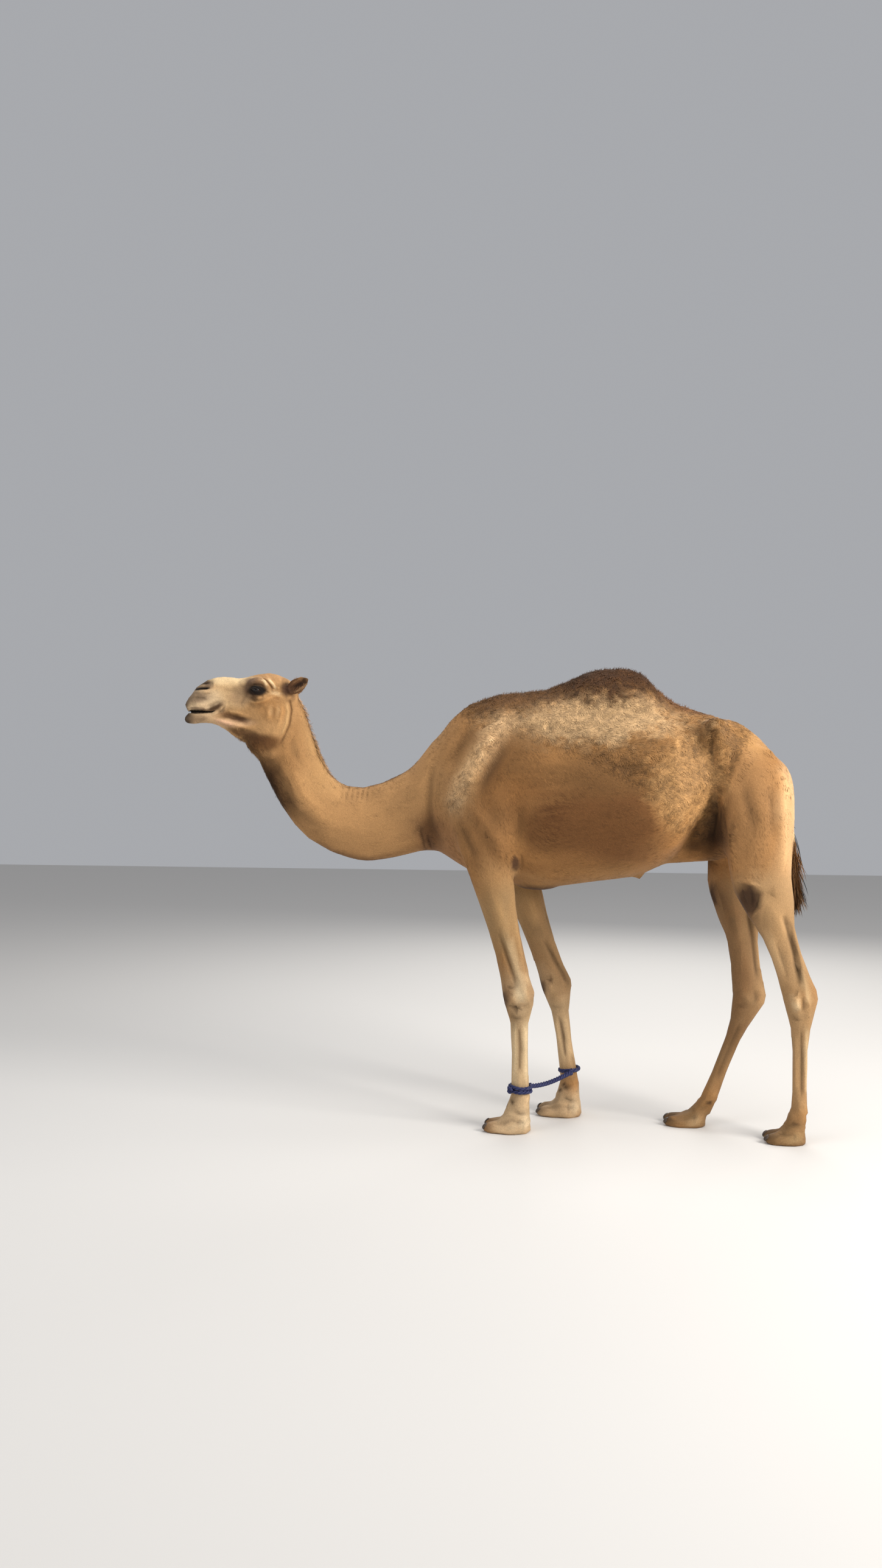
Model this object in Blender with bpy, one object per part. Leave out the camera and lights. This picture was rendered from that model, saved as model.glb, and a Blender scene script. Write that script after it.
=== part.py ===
"""Dromedary camel, standing with its forelegs hobbled, as a life-size still model.

Metres, +Z up. The camel faces -X, its left side is towards -Y, and its soles stand on z = 0.
Each form is a loft through named stations of the body. The forms are fused into one surface,
the surface is thinned to flat facets, and thin cuts then part it into the pieces a person would name.
"""

import math

import bmesh
import bpy
import numpy as np
from mathutils import Matrix, Vector

# Driving dimensions, in metres
ORIGIN = (0.036, 0.000)  # the drawing's place that lies under the middle of the finished body
HEAD_PLACE = (-0.904, -0.130)  # plan position of the poll, just in front of the ears
HEAD_TURN = math.radians(20)  # the head looks a little to its left
EYE_RADIUS = 0.0205
EYE_PLACE = (0.135, 0.0745, 1.914)  # ahead of the poll, out from the middle, up from the floor
EAR_LENGTH = 0.118
EAR_HALF_WIDTH = 0.034
EAR_WALL = 0.008
EAR_BASE = (-0.002, 0.056, 1.911)
EYE_GRID = (12, 8)
CUT = 0.0008  # the thin cuts that part the body
CLEARANCE = 0.0005  # between the body and what is set on it
VOXEL = 0.006  # grain of the fused surface
CREASE_PASSES = 70
FIRST_TRIANGLES = 14000
SPAN = 0.02  # distance between the rings of a loft
RING_POINTS = 36
OVAL = 2.0  # roundness of a plain oval; more is squarer
BODY_TRIANGLES = 3950

# Trunk stations: place, x, top, bottom, height of the widest part, half width, roundness
BARREL = (
    ("breast", -0.295, 1.600, 1.235, 1.420, 0.085, 2.0),
    ("neck root", -0.225, 1.730, 1.190, 1.430, 0.140, 1.95),
    ("shoulder point", -0.120, 1.845, 1.125, 1.410, 0.190, 1.9),
    ("front of withers", 0.000, 1.900, 1.080, 1.400, 0.222, 1.85),
    ("withers", 0.120, 1.916, 1.050, 1.395, 0.245, 1.8),
    ("girth", 0.260, 1.922, 1.040, 1.390, 0.266, 1.85),
    ("ribs", 0.420, 1.900, 1.062, 1.395, 0.292, 1.9),
    ("belly", 0.600, 1.868, 1.088, 1.405, 0.320, 2.0),
    ("paunch", 0.740, 1.835, 1.135, 1.420, 0.328, 2.05),
    ("flank", 0.850, 1.790, 1.215, 1.450, 0.300, 2.05),
    ("last rib", 0.930, 1.725, 1.325, 1.490, 0.235, 2.0),
    ("behind the ribs", 0.985, 1.640, 1.440, 1.530, 0.120, 2.0),
)
PELVIS = (
    ("loin", 0.620, 1.850, 1.110, 1.500, 0.150, 2.0),
    ("back of the loin", 0.800, 1.862, 1.150, 1.600, 0.160, 2.0),
    ("before the hips", 0.915, 1.824, 1.158, 1.640, 0.185, 2.1),
    ("hips", 0.990, 1.798, 1.165, 1.650, 0.222, 2.2),
    ("croup", 1.070, 1.778, 1.190, 1.590, 0.215, 2.1),
    ("croup slope", 1.150, 1.722, 1.220, 1.530, 0.190, 2.0),
    ("tail head", 1.220, 1.645, 1.280, 1.480, 0.150, 2.0),
    ("seat bones", 1.280, 1.565, 1.330, 1.450, 0.100, 2.0),
    ("end of the rump", 1.308, 1.500, 1.380, 1.440, 0.045, 2.0),
)
HUMP = (
    ("front foot", 0.230, 1.924, 1.70, 1.72, 0.090, 2.0),
    ("front slope", 0.340, 1.964, 1.70, 1.72, 0.140, 1.95),
    ("rise", 0.430, 2.004, 1.70, 1.72, 0.165, 1.9),
    ("peak", 0.530, 2.020, 1.70, 1.72, 0.175, 1.85),
    ("behind the peak", 0.620, 2.014, 1.70, 1.72, 0.170, 1.85),
    ("shoulder of the hump", 0.685, 1.986, 1.70, 1.72, 0.160, 1.85),
    ("rear slope", 0.745, 1.920, 1.70, 1.72, 0.140, 1.9),
    ("rear foot", 0.815, 1.862, 1.70, 1.72, 0.105, 2.0),
)
# Neck stations: place, nape (x, y, z), throat side (x, y, z), half width
NECK = (
    ("inside the chest", (-0.140, 0.000, 1.780), (-0.150, 0.000, 1.180), 0.150),
    ("root", (-0.245, 0.000, 1.712), (-0.262, 0.000, 1.196), 0.138),
    ("above the breast", (-0.345, 0.000, 1.590), (-0.352, -0.001, 1.184), 0.118),
    ("low neck", (-0.455, -0.008, 1.524), (-0.462, -0.010, 1.158), 0.102),
    ("bottom of the bend", (-0.560, -0.024, 1.492), (-0.585, -0.030, 1.150), 0.094),
    ("front of the bend", (-0.648, -0.042, 1.498), (-0.715, -0.062, 1.192), 0.089),
    ("rising", (-0.712, -0.060, 1.544), (-0.832, -0.102, 1.270), 0.085),
    ("mid neck", (-0.754, -0.074, 1.612), (-0.915, -0.134, 1.382), 0.082),
    ("upper neck", (-0.782, -0.083, 1.692), (-0.972, -0.158, 1.500), 0.078),
    ("below the throat", (-0.803, -0.091, 1.765), (-1.022, -0.178, 1.612), 0.074),
    ("throat", (-0.824, -0.100, 1.835), (-1.070, -0.196, 1.680), 0.070),
    ("inside the head", (-0.862, -0.116, 1.900), (-1.062, -0.195, 1.770), 0.060),
)
# Head stations, in the head's own line: place, ahead of the poll, top, bottom, height of the widest part,
# half width, roundness
SKULL = (
    ("nape", -0.052, 1.925, 1.790, 1.870, 0.036, 2.0),
    ("poll", -0.022, 1.962, 1.770, 1.880, 0.058, 2.1),
    ("crown", 0.020, 1.985, 1.755, 1.890, 0.070, 2.2),
    ("forehead", 0.070, 1.9975, 1.750, 1.900, 0.073, 2.3),
    ("brow", 0.120, 1.992, 1.760, 1.905, 0.070, 2.3),
    ("below the brow", 0.165, 1.981, 1.775, 1.895, 0.060, 2.3),
    ("dip of the nose", 0.205, 1.973, 1.790, 1.885, 0.052, 2.3),
    ("bridge", 0.245, 1.978, 1.806, 1.880, 0.048, 2.2),
    ("nose", 0.295, 1.978, 1.818, 1.885, 0.049, 2.2),
    ("nostril, back", 0.335, 1.967, 1.8175, 1.885, 0.053, 2.2),
    ("nostril, front", 0.368, 1.949, 1.8175, 1.880, 0.055, 2.2),
    ("upper lip", 0.397, 1.926, 1.8175, 1.872, 0.053, 2.2),
    ("lip front", 0.420, 1.893, 1.819, 1.862, 0.045, 2.1),
    ("lip edge", 0.436, 1.871, 1.826, 1.853, 0.031, 2.0),
    ("lip tip", 0.443, 1.859, 1.843, 1.852, 0.014, 2.0),
)
JAW = (
    ("behind the cheek", -0.020, 1.850, 1.745, 1.800, 0.045, 2.0),
    ("jaw angle", 0.035, 1.855, 1.716, 1.785, 0.060, 2.1),
    ("cheek", 0.100, 1.850, 1.696, 1.780, 0.060, 2.1),
    ("front of the cheek", 0.165, 1.840, 1.690, 1.770, 0.050, 2.1),
    ("bars", 0.222, 1.836, 1.705, 1.770, 0.041, 2.1),
    ("chin groove", 0.275, 1.828, 1.745, 1.784, 0.036, 2.1),
    ("lower lip, back", 0.325, 1.8195, 1.767, 1.793, 0.036, 2.1),
    ("lower lip", 0.375, 1.8195, 1.769, 1.793, 0.037, 2.1),
    ("lower lip, front", 0.415, 1.817, 1.765, 1.790, 0.032, 2.1),
    ("lower lip, edge", 0.437, 1.808, 1.769, 1.787, 0.020, 2.0),
    ("lower lip, tip", 0.447, 1.796, 1.777, 1.786, 0.008, 2.0),
)
# Shoulder stations: x, distance from the middle plane, height, half depth, lean of that depth, half width
SHOULDER_BLADE = (
    (0.080, 0.085, 1.830, 0.060, -0.02, 0.035),
    (0.040, 0.140, 1.680, 0.110, -0.02, 0.062),
    (-0.010, 0.176, 1.510, 0.130, -0.02, 0.064),
    (-0.030, 0.180, 1.340, 0.120, 0, 0.055),
    (-0.010, 0.165, 1.220, 0.095, 0, 0.045),
)
TRICEPS = (
    (0.090, 0.185, 1.560, 0.050, 0, 0.040),
    (0.082, 0.205, 1.400, 0.080, 0, 0.050),
    (0.072, 0.195, 1.250, 0.078, 0, 0.050),
    (0.068, 0.175, 1.120, 0.056, 0, 0.040),
)
HIP_BONE = ((0.975, 0.166, 1.712), (0.072, 0.060, 0.078))
NAVEL = ((0.655, 0, 1.096), (0.024, 0.014, 0.015))
# Rounded masses of the head: place, ahead, out from the middle, height, radii along, across and up
HEAD_MASSES = (
    ("brow ridge", 0.120, 0.058, 1.944, 0.056, 0.032, 0.032),
    ("orbit", 0.130, 0.056, 1.912, 0.052, 0.031, 0.040),
    ("cheek bone", 0.090, 0.052, 1.872, 0.085, 0.028, 0.026),
    ("cheek muscle", 0.050, 0.046, 1.805, 0.070, 0.026, 0.065),
    ("nostril wing", 0.362, 0.040, 1.905, 0.036, 0.018, 0.024),
)
# Limb joints: centre of the limb (x, z, y); toe, heel and half width of the sole
FORELEG_LEFT = {
    "top": (-0.030, 1.400, -0.172),
    "elbow": (0.036, 1.085, -0.160),
    "knee": (0.148, 0.580, -0.150),
    "fetlock": (0.152, 0.160, -0.140),
    "sole": (-0.008, 0.197, 0.080),
}
FORELEG_RIGHT = {
    "top": (0.020, 1.400, 0.172),
    "elbow": (0.112, 1.075, 0.165),
    "knee": (0.288, 0.580, 0.155),
    "fetlock": (0.345, 0.160, 0.150),
    "sole": (0.196, 0.400, 0.080),
}
HINDLEG_LEFT = {
    "top": (1.120, 1.650, -0.125),
    "stifle": (1.168, 1.080, -0.150),
    "hock": (1.326, 0.602, -0.115),
    "fetlock": (1.319, 0.140, -0.110),
    "sole": (1.174, 1.346, 0.068),
}
HINDLEG_RIGHT = {
    "top": (1.110, 1.650, 0.125),
    "stifle": (1.085, 1.030, 0.148),
    "hock": (1.133, 0.565, 0.095),
    "fetlock": (0.966, 0.135, 0.082),
    "sole": (0.764, 0.946, 0.068),
}
# Limb form: from joint, to joint, share of the way, half depth, half width
FORELEG_FORM = (
    ("top", "elbow", 0.00, 0.125, 0.050),
    ("top", "elbow", 0.50, 0.125, 0.062),
    ("elbow", "knee", 0.00, 0.096, 0.064),
    ("elbow", "knee", 0.20, 0.080, 0.057),
    ("elbow", "knee", 0.42, 0.068, 0.049),
    ("elbow", "knee", 0.65, 0.062, 0.043),
    ("elbow", "knee", 0.84, 0.064, 0.043),
    ("knee", "fetlock", 0.00, 0.071, 0.049),
    ("knee", "fetlock", 0.12, 0.060, 0.046),
    ("knee", "fetlock", 0.25, 0.044, 0.037),
    ("knee", "fetlock", 0.42, 0.038, 0.032),
    ("knee", "fetlock", 0.66, 0.037, 0.031),
    ("knee", "fetlock", 0.88, 0.040, 0.035),
    ("knee", "fetlock", 1.00, 0.042, 0.037),
)
HINDLEG_FORM = (
    ("top", "stifle", 0.00, 0.085, 0.045),
    ("top", "stifle", 0.16, 0.132, 0.076),
    ("top", "stifle", 0.40, 0.160, 0.102),
    ("top", "stifle", 0.75, 0.142, 0.098),
    ("stifle", "hock", 0.00, 0.122, 0.084),
    ("stifle", "hock", 0.20, 0.101, 0.067),
    ("stifle", "hock", 0.42, 0.072, 0.052),
    ("stifle", "hock", 0.65, 0.064, 0.042),
    ("stifle", "hock", 0.85, 0.068, 0.039),
    ("hock", "fetlock", 0.00, 0.073, 0.043),
    ("hock", "fetlock", 0.12, 0.059, 0.045),
    ("hock", "fetlock", 0.26, 0.043, 0.040),
    ("hock", "fetlock", 0.42, 0.034, 0.033),
    ("hock", "fetlock", 0.66, 0.031, 0.029),
    ("hock", "fetlock", 0.88, 0.033, 0.032),
    ("hock", "fetlock", 1.00, 0.036, 0.036),
)
# Sole form: height, share of the sole's length at its front and rear edge, share of its half width
SOLE_FORM = (
    (-0.012, 0.13, 0.97, 0.90),
    (0.000, 0.11, 0.99, 0.95),
    (0.015, 0.13, 1.00, 1.00),
    (0.034, 0.26, 0.99, 0.94),
)
FETLOCK_END = 0.060  # how low the limb runs inside the pastern
HEEL_SHARE = 0.45  # how far that end leans towards the heel
HEEL_DEPTH = 0.055
PASTERN_RISES = (0.25, 0.50, 0.75, 1.00)  # rings from the pad up to the fetlock
PASTERN_DRAW_IN = 0.55  # how soon the pad narrows above the sole
TOE_RADII = (0.056, 0.037, 0.028)
TOE_SPREAD = 0.45  # share of the sole's half width
LIMBS = (
    (FORELEG_LEFT, FORELEG_FORM),
    (FORELEG_RIGHT, FORELEG_FORM),
    (HINDLEG_LEFT, HINDLEG_FORM),
    (HINDLEG_RIGHT, HINDLEG_FORM),
)
# Tail stations: place, x, z, half depth, half width
TAIL = (
    ("under the skin", 1.225, 1.600, 0.030, 0.036),
    ("root", 1.268, 1.560, 0.028, 0.034),
    ("bend", 1.296, 1.490, 0.022, 0.028),
    ("dock", 1.304, 1.400, 0.017, 0.024),
    ("middle", 1.306, 1.280, 0.015, 0.022),
    ("end of the dock", 1.310, 1.180, 0.015, 0.022),
    ("tuft", 1.321, 1.090, 0.019, 0.028),
    ("thick of the tuft", 1.336, 1.020, 0.019, 0.027),
    ("tip of the tuft", 1.352, 0.945, 0.007, 0.009),
)
TAIL_SPAN = 0.045
TUFT_TOP = 1.180
# Ear form: share of its length, share of its half width
EAR_FORM = (
    (0.00, 0.50),
    (0.12, 0.74),
    (0.30, 0.96),
    (0.50, 1.00),
    (0.70, 0.86),
    (0.87, 0.56),
    (1.00, 0.12),
)
EAR_LEAN = (0.780, 0.415, 0.466)  # backwards, outwards and up
EAR_DEPTH = 0.016
EAR_FACING = (-0.35, 0.93, -0.10)  # the way its inner face looks, in the head's own line
SCOOP_FROM, SCOOP_TO = 0.1, 0.9  # shares of the ear's length
SCOOP_OUT, SCOOP_DEPTH = 0.75, 0.9  # place and depth of the scoop, as shares of the ear's own depth
# Cuts: line of (x, z) points, the middle and the breadth across
CUTS = (
    (((-0.790, 1.930), (-0.862, 1.832), (-0.910, 1.745), (-1.000, 1.690), (-1.160, 1.655)), -0.15, 0.34),
    (((-0.660, 1.590), (-0.905, 1.250)), -0.08, 0.40),
    (((-0.292, 1.760), (-0.292, 1.090)), 0.00, 0.60),
    (((0.205, 2.060), (0.235, 1.960), (0.300, 1.905), (0.500, 1.885), (0.700, 1.865), (0.800, 1.842),
      (0.850, 1.872), (0.872, 1.960)), 0.00, 0.70),
    (((-0.150, 1.012), (0.350, 1.012)), -0.165, 0.26),
    (((-0.150, 1.012), (0.350, 1.012)), 0.170, 0.26),
    (((0.000, 0.578), (0.320, 0.578)), -0.150, 0.20),
    (((0.140, 0.578), (0.440, 0.578)), 0.155, 0.20),
    (((0.020, 0.148), (0.300, 0.148)), -0.140, 0.20),
    (((0.200, 0.148), (0.480, 0.148)), 0.150, 0.20),
    (((0.850, 1.092), (1.450, 1.092)), -0.145, 0.24),
    (((0.850, 1.092), (1.450, 1.092)), 0.145, 0.24),
    (((1.150, 0.600), (1.480, 0.600)), -0.115, 0.20),
    (((0.980, 0.560), (1.300, 0.560)), 0.095, 0.16),
    (((1.180, 0.132), (1.460, 0.132)), -0.110, 0.18),
    (((0.840, 0.126), (1.080, 0.126)), 0.082, 0.18),
)
# The mouth, ahead of the poll and up from the floor: from the lips to the corner, then down behind the chin
MOUTH = ((0.500, 1.818), (0.335, 1.818), (0.286, 1.842), (0.262, 1.836), (0.238, 1.760), (0.232, 1.660))
MOUTH_BREADTH = 0.24  # more than the head's
# The middle of each piece that the cuts leave
PIECES = {
    "head": (-1.05, -0.19, 1.88),
    "lower_jaw": (-1.25, -0.27, 1.78),
    "neck_upper": (-0.87, -0.12, 1.60),
    "neck_lower": (-0.50, -0.02, 1.33),
    "trunk": (0.50, 0.00, 1.45),
    "hump": (0.53, 0.00, 1.95),
    "foreleg_left_upper": (0.09, -0.15, 0.80),
    "foreleg_left_lower": (0.15, -0.15, 0.36),
    "forefoot_left": (0.09, -0.14, 0.05),
    "foreleg_right_upper": (0.20, 0.16, 0.80),
    "foreleg_right_lower": (0.32, 0.15, 0.36),
    "forefoot_right": (0.30, 0.15, 0.05),
    "hindleg_left_upper": (1.25, -0.13, 0.83),
    "hindleg_left_lower": (1.32, -0.11, 0.36),
    "hindfoot_left": (1.27, -0.11, 0.05),
    "hindleg_right_upper": (1.11, 0.12, 0.80),
    "hindleg_right_lower": (1.04, 0.09, 0.33),
    "hindfoot_right": (0.87, 0.08, 0.05),
}
# Feet that carry nails: the limb's name and its joints
FEET = (
    ("forefoot_left", FORELEG_LEFT),
    ("forefoot_right", FORELEG_RIGHT),
    ("hindfoot_left", HINDLEG_LEFT),
    ("hindfoot_right", HINDLEG_RIGHT),
)
# The flank's hollow, seen from the side: its middle, half width and half height, lean and depth
FLANK_HOLLOW = ((0.930, 1.290), (0.105, 0.235), math.radians(-14), 0.060)
NAIL_RADII = (0.018, 0.018, 0.010)
NAIL_PLACE = (0.013, 0.023)  # behind the toe's tip, up from the floor
NAIL_SPLAY = math.radians(8)
NAIL_SLOPE = math.radians(44)
CHEST_PAD = ((0.215, 0.0, 1.058), (0.105, 0.075, 0.030))
# Hobble: the middle of each loop, its half axes to the middle of the rope, how thick the rope is out and up
# as half sizes, and its tilt
LOOPS = {
    "hobble_loop_left": ((0.153, -0.141, 0.184), (0.045, 0.044), (0.0105, 0.0165), math.radians(3)),
    "hobble_loop_right": ((0.344, 0.150, 0.206), (0.042, 0.041), (0.0095, 0.0095), math.radians(-6)),
}
LOOP_GRID = (16, 7)  # facets along the loop and round the rope
HOBBLE_KNOT = ((0.113, -0.176, 0.185), (0.019, 0.014, 0.018))
LINK_ROUTE = (
    (0.1940, -0.0900, 0.1820),
    (0.2180, -0.0640, 0.1790),
    (0.2420, -0.0370, 0.1785),
    (0.2660, -0.0100, 0.1805),
    (0.2900, 0.0170, 0.1850),
    (0.3140, 0.0440, 0.1915),
    (0.3350, 0.0670, 0.1980),
    (0.3540, 0.0880, 0.2050),
)
ROPE_RADIUS = 0.0105
# Finishes: name, base colour, roughness
SAND, CREAM, BROWN = (0.48, 0.31, 0.17, 1), (0.66, 0.55, 0.42, 1), (0.10, 0.05, 0.025, 1)
FINISHES = {
    "short coat": (SAND, 0.9),
    "woolly coat": ((0.26, 0.15, 0.08, 1), 0.95),
    "pale leg coat": (CREAM, 0.9),
    "tail hair": (BROWN, 0.85),
    "callus": ((0.09, 0.07, 0.06, 1), 0.8),
    "eye": ((0.012, 0.008, 0.006, 1), 0.08),
    "nail": ((0.05, 0.04, 0.035, 1), 0.5),
    "blue rope": ((0.03, 0.035, 0.12, 1), 0.85),
}
OWN_FINISHES = (("tail_tuft", "tail hair"), ("chest_pad", "callus"), ("eye", "eye"), ("hobble", "blue rope"))


def clear_scene():
    for old in list(bpy.data.objects):
        bpy.data.objects.remove(old)


def resample(rows, span):
    """Rows whose first three columns are a centre line, joined by smooth curves and read every span."""
    rows = np.array(rows, float)
    along = np.concatenate([[0], np.cumsum(np.linalg.norm(np.diff(rows[:, :3], axis=0), axis=1))])
    slope = np.gradient(rows, along, axis=0)
    at = np.linspace(0, along[-1], max(3, round(along[-1] / span) + 1))
    k = np.clip(np.searchsorted(along, at, side="right") - 1, 0, len(along) - 2)
    width = (along[k + 1] - along[k])[:, None]
    t = ((at - along[k])[:, None]) / width
    return (
        (2 * t**3 - 3 * t**2 + 1) * rows[k]
        + (t**3 - 2 * t**2 + t) * width * slope[k]
        + (3 * t**2 - 2 * t**3) * rows[k + 1]
        + (t**3 - t**2) * width * slope[k + 1]
    )


def loft(name, rows, span=SPAN, around=RING_POINTS):
    """A closed skin over rings. A row is the centre (3), the vector to the ring's upper edge (3) and to its
    lower edge (3), the half width and the roundness."""
    rows = resample(rows, span)
    along = np.gradient(rows[:, :3], axis=0)
    mesh = bmesh.new()
    rings = []
    for row, tangent in zip(rows, along):
        centre, upper, lower = Vector(row[0:3]), Vector(row[3:6]), Vector(row[6:9])
        side = Vector(tangent).cross(upper).normalized()
        side *= -1 if side.y < 0 else 1
        ring = []
        for step in range(around):
            turn = 2 * math.pi * step / around
            across, updown = math.cos(turn), math.sin(turn)
            across = math.copysign(abs(across) ** (2 / row[10]), across)
            reach = abs(updown) ** (2 / row[10])
            edge = upper if updown > 0 else lower
            ring.append(mesh.verts.new(centre + side * row[9] * across + edge * reach))
        rings.append(ring)
    for first, second in zip(rings, rings[1:]):
        for step in range(around):
            after = (step + 1) % around
            mesh.faces.new((first[step], first[after], second[after], second[step]))
    mesh.faces.new(rings[0])
    mesh.faces.new(rings[-1])
    bmesh.ops.recalc_face_normals(mesh, faces=mesh.faces)
    return finish_mesh(name, mesh)


def finish_mesh(name, mesh):
    data = bpy.data.meshes.new(name)
    mesh.to_mesh(data)
    mesh.free()
    made = bpy.data.objects.new(name, data)
    bpy.context.scene.collection.objects.link(made)
    return made


def ellipsoid(name, centre, radii, turn=None, segments=24, rings=14):
    mesh = bmesh.new()
    bmesh.ops.create_uvsphere(mesh, u_segments=segments, v_segments=rings, radius=1)
    place = Matrix.Translation(centre) @ (turn or Matrix.Identity(4)) @ Matrix.Diagonal((*radii, 1))
    bmesh.ops.transform(mesh, matrix=place, verts=mesh.verts)
    return finish_mesh(name, mesh)


def box(name, centre, size, turn=None):
    mesh = bmesh.new()
    bmesh.ops.create_cube(mesh, size=1)
    place = Matrix.Translation(centre) @ (turn or Matrix.Identity(4)) @ Matrix.Diagonal((*size, 1))
    bmesh.ops.transform(mesh, matrix=place, verts=mesh.verts)
    return finish_mesh(name, mesh)


def apply_modifiers(made):
    graph = bpy.context.evaluated_depsgraph_get()
    data = bpy.data.meshes.new_from_object(made.evaluated_get(graph))
    made.modifiers.clear()
    made.data = data
    return made


def combine(made, other, operation):
    modifier = made.modifiers.new(operation.lower(), "BOOLEAN")
    modifier.operation = operation
    modifier.object = other
    modifier.solver = "EXACT"
    apply_modifiers(made)
    return made


def discard(*objects):
    for made in objects:
        bpy.data.objects.remove(made)


def upright(table):
    """Rings that stand across X, such as the trunk's."""
    return [
        ((x, 0, widest), (0, 0, top - widest), (0, 0, bottom - widest), half_width, roundness)
        for _, x, top, bottom, widest, half_width, roundness in table
    ]


def flat_rows(rings):
    return [[*centre, *upper, *lower, *sizes] for centre, upper, lower, *sizes in rings]


def head_frame():
    return Matrix.Translation((*HEAD_PLACE, 0)) @ Matrix.Rotation(HEAD_TURN, 4, "Z")


def head_point(ahead, out, height):
    return head_frame() @ Vector((-ahead, out, height))


def head_loft(name, table):
    rows = flat_rows(upright([(place, -ahead, *rest) for place, ahead, *rest in table]))
    made = loft(name, rows, span=0.008)
    made.data.transform(head_frame())
    return made


def neck_form():
    rings = []
    for _, nape, throat, half_width in NECK:
        upper = (Vector(nape) - Vector(throat)) / 2
        rings.append((Vector(throat) + upper, upper, -upper, half_width, 2.0))
    return loft("neck form", flat_rows(rings))


def sagittal_loft(name, rings, span=SPAN, around=RING_POINTS):
    """Rings along a line that keeps to one side of the body: centre, half depth and half width."""
    rows = []
    for k, (centre, half_depth, half_width) in enumerate(rings):
        run = rings[min(k + 1, len(rings) - 1)][0] - rings[max(k - 1, 0)][0]
        across = Vector((-run.z, 0, run.x)).normalized() * half_depth
        rows.append([*centre, *across, *(-across), half_width, OVAL])
    return loft(name, rows, span, around)


def limb_form(joints, form):
    rings = []
    for start, end, share, half_depth, half_width in form:
        a, b = (Vector((joints[place][0], joints[place][2], joints[place][1])) for place in (start, end))
        rings.append((a.lerp(b, share), half_depth, half_width))
    centre, half_depth, half_width = rings[-1]
    heel = joints["sole"][1]
    inside = centre.x + HEEL_SHARE * (heel - HEEL_DEPTH - centre.x)
    rings.append((Vector((inside, centre.y, FETLOCK_END)), half_depth, half_width))
    return sagittal_loft("limb form", rings)


def between(first, second, share):
    return [a + (b - a) * share for a, b in zip(first, second)]


def foot_forms(joints, form):
    """The pad with its pastern, from the flat sole up to the fetlock, and the two toes in front."""
    x, z, y = joints["fetlock"]
    toe, heel, half_width = joints["sole"]
    edges = []
    for height, front, rear, share in SOLE_FORM:
        edges.append((height, toe + (heel - toe) * front, toe + (heel - toe) * rear, half_width * share))
    pad = edges[-1]
    fetlock = (z, x - form[-1][3], x + form[-1][3], form[-1][4])
    for rise in PASTERN_RISES:
        eased = between(pad, fetlock, rise**PASTERN_DRAW_IN)
        plain = between(pad, fetlock, rise)
        edges.append((plain[0], eased[1], plain[2], eased[3]))
    rows = []
    for height, front, rear, width in edges:
        half = (rear - front) / 2
        rows.append([front + half, y, height, half, 0, 0, -half, 0, 0, width, 2.3])
    forms = [loft("pad form", rows, span=0.01)]
    for side in (-1, 1):
        spread = side * half_width * TOE_SPREAD
        turn = Matrix.Rotation(side * math.radians(8), 4, "Z")
        forms.append(ellipsoid("toe form", (toe + TOE_RADII[0], y + spread, 0.016), TOE_RADII, turn))
    return forms


def shoulder_forms(side):
    """The shoulder blade with the muscle behind it, which stand a little proud of the ribs."""
    made = []
    for name, stations in (("blade form", SHOULDER_BLADE), ("triceps form", TRICEPS)):
        rows = [
            [x, side * out, height, -depth, 0, lean, depth, 0, -lean, half_width, OVAL]
            for x, out, height, depth, lean, half_width in stations
        ]
        made.append(loft(name, rows))
    return made


def body_forms():
    forms = [loft("barrel form", flat_rows(upright(BARREL))), loft("pelvis form", flat_rows(upright(PELVIS)))]
    forms += [loft("hump form", flat_rows(upright(HUMP))), neck_form()]
    forms += [head_loft("skull form", SKULL), head_loft("jaw form", JAW)]
    for side in (-1, 1):
        forms += shoulder_forms(side)
        (x, out, height), radii = HIP_BONE
        forms.append(ellipsoid("hip bone", (x, side * out, height), radii))
        for place, ahead, out, height, along, across, up in HEAD_MASSES:
            turn = Matrix.Rotation(HEAD_TURN, 4, "Z")
            forms.append(ellipsoid(place, head_point(ahead, side * out, height), (along, across, up), turn))
    for joints, form in LIMBS:
        forms += [limb_form(joints, form), *foot_forms(joints, form)]
    forms.append(ellipsoid("navel", *NAVEL))
    return forms


def fuse(name, forms, voxel):
    """One surface round all the forms."""
    mesh = bmesh.new()
    for form in forms:
        mesh.from_mesh(form.data)
    discard(*forms)
    made = finish_mesh(name, mesh)
    modifier = made.modifiers.new("fuse", "REMESH")
    modifier.mode = "VOXEL"
    modifier.voxel_size = voxel
    return apply_modifiers(made)


def points_of(made):
    points = np.empty(len(made.data.vertices) * 3, np.float32)
    made.data.vertices.foreach_get("co", points)
    return points.reshape(-1, 3).astype(float)


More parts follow.
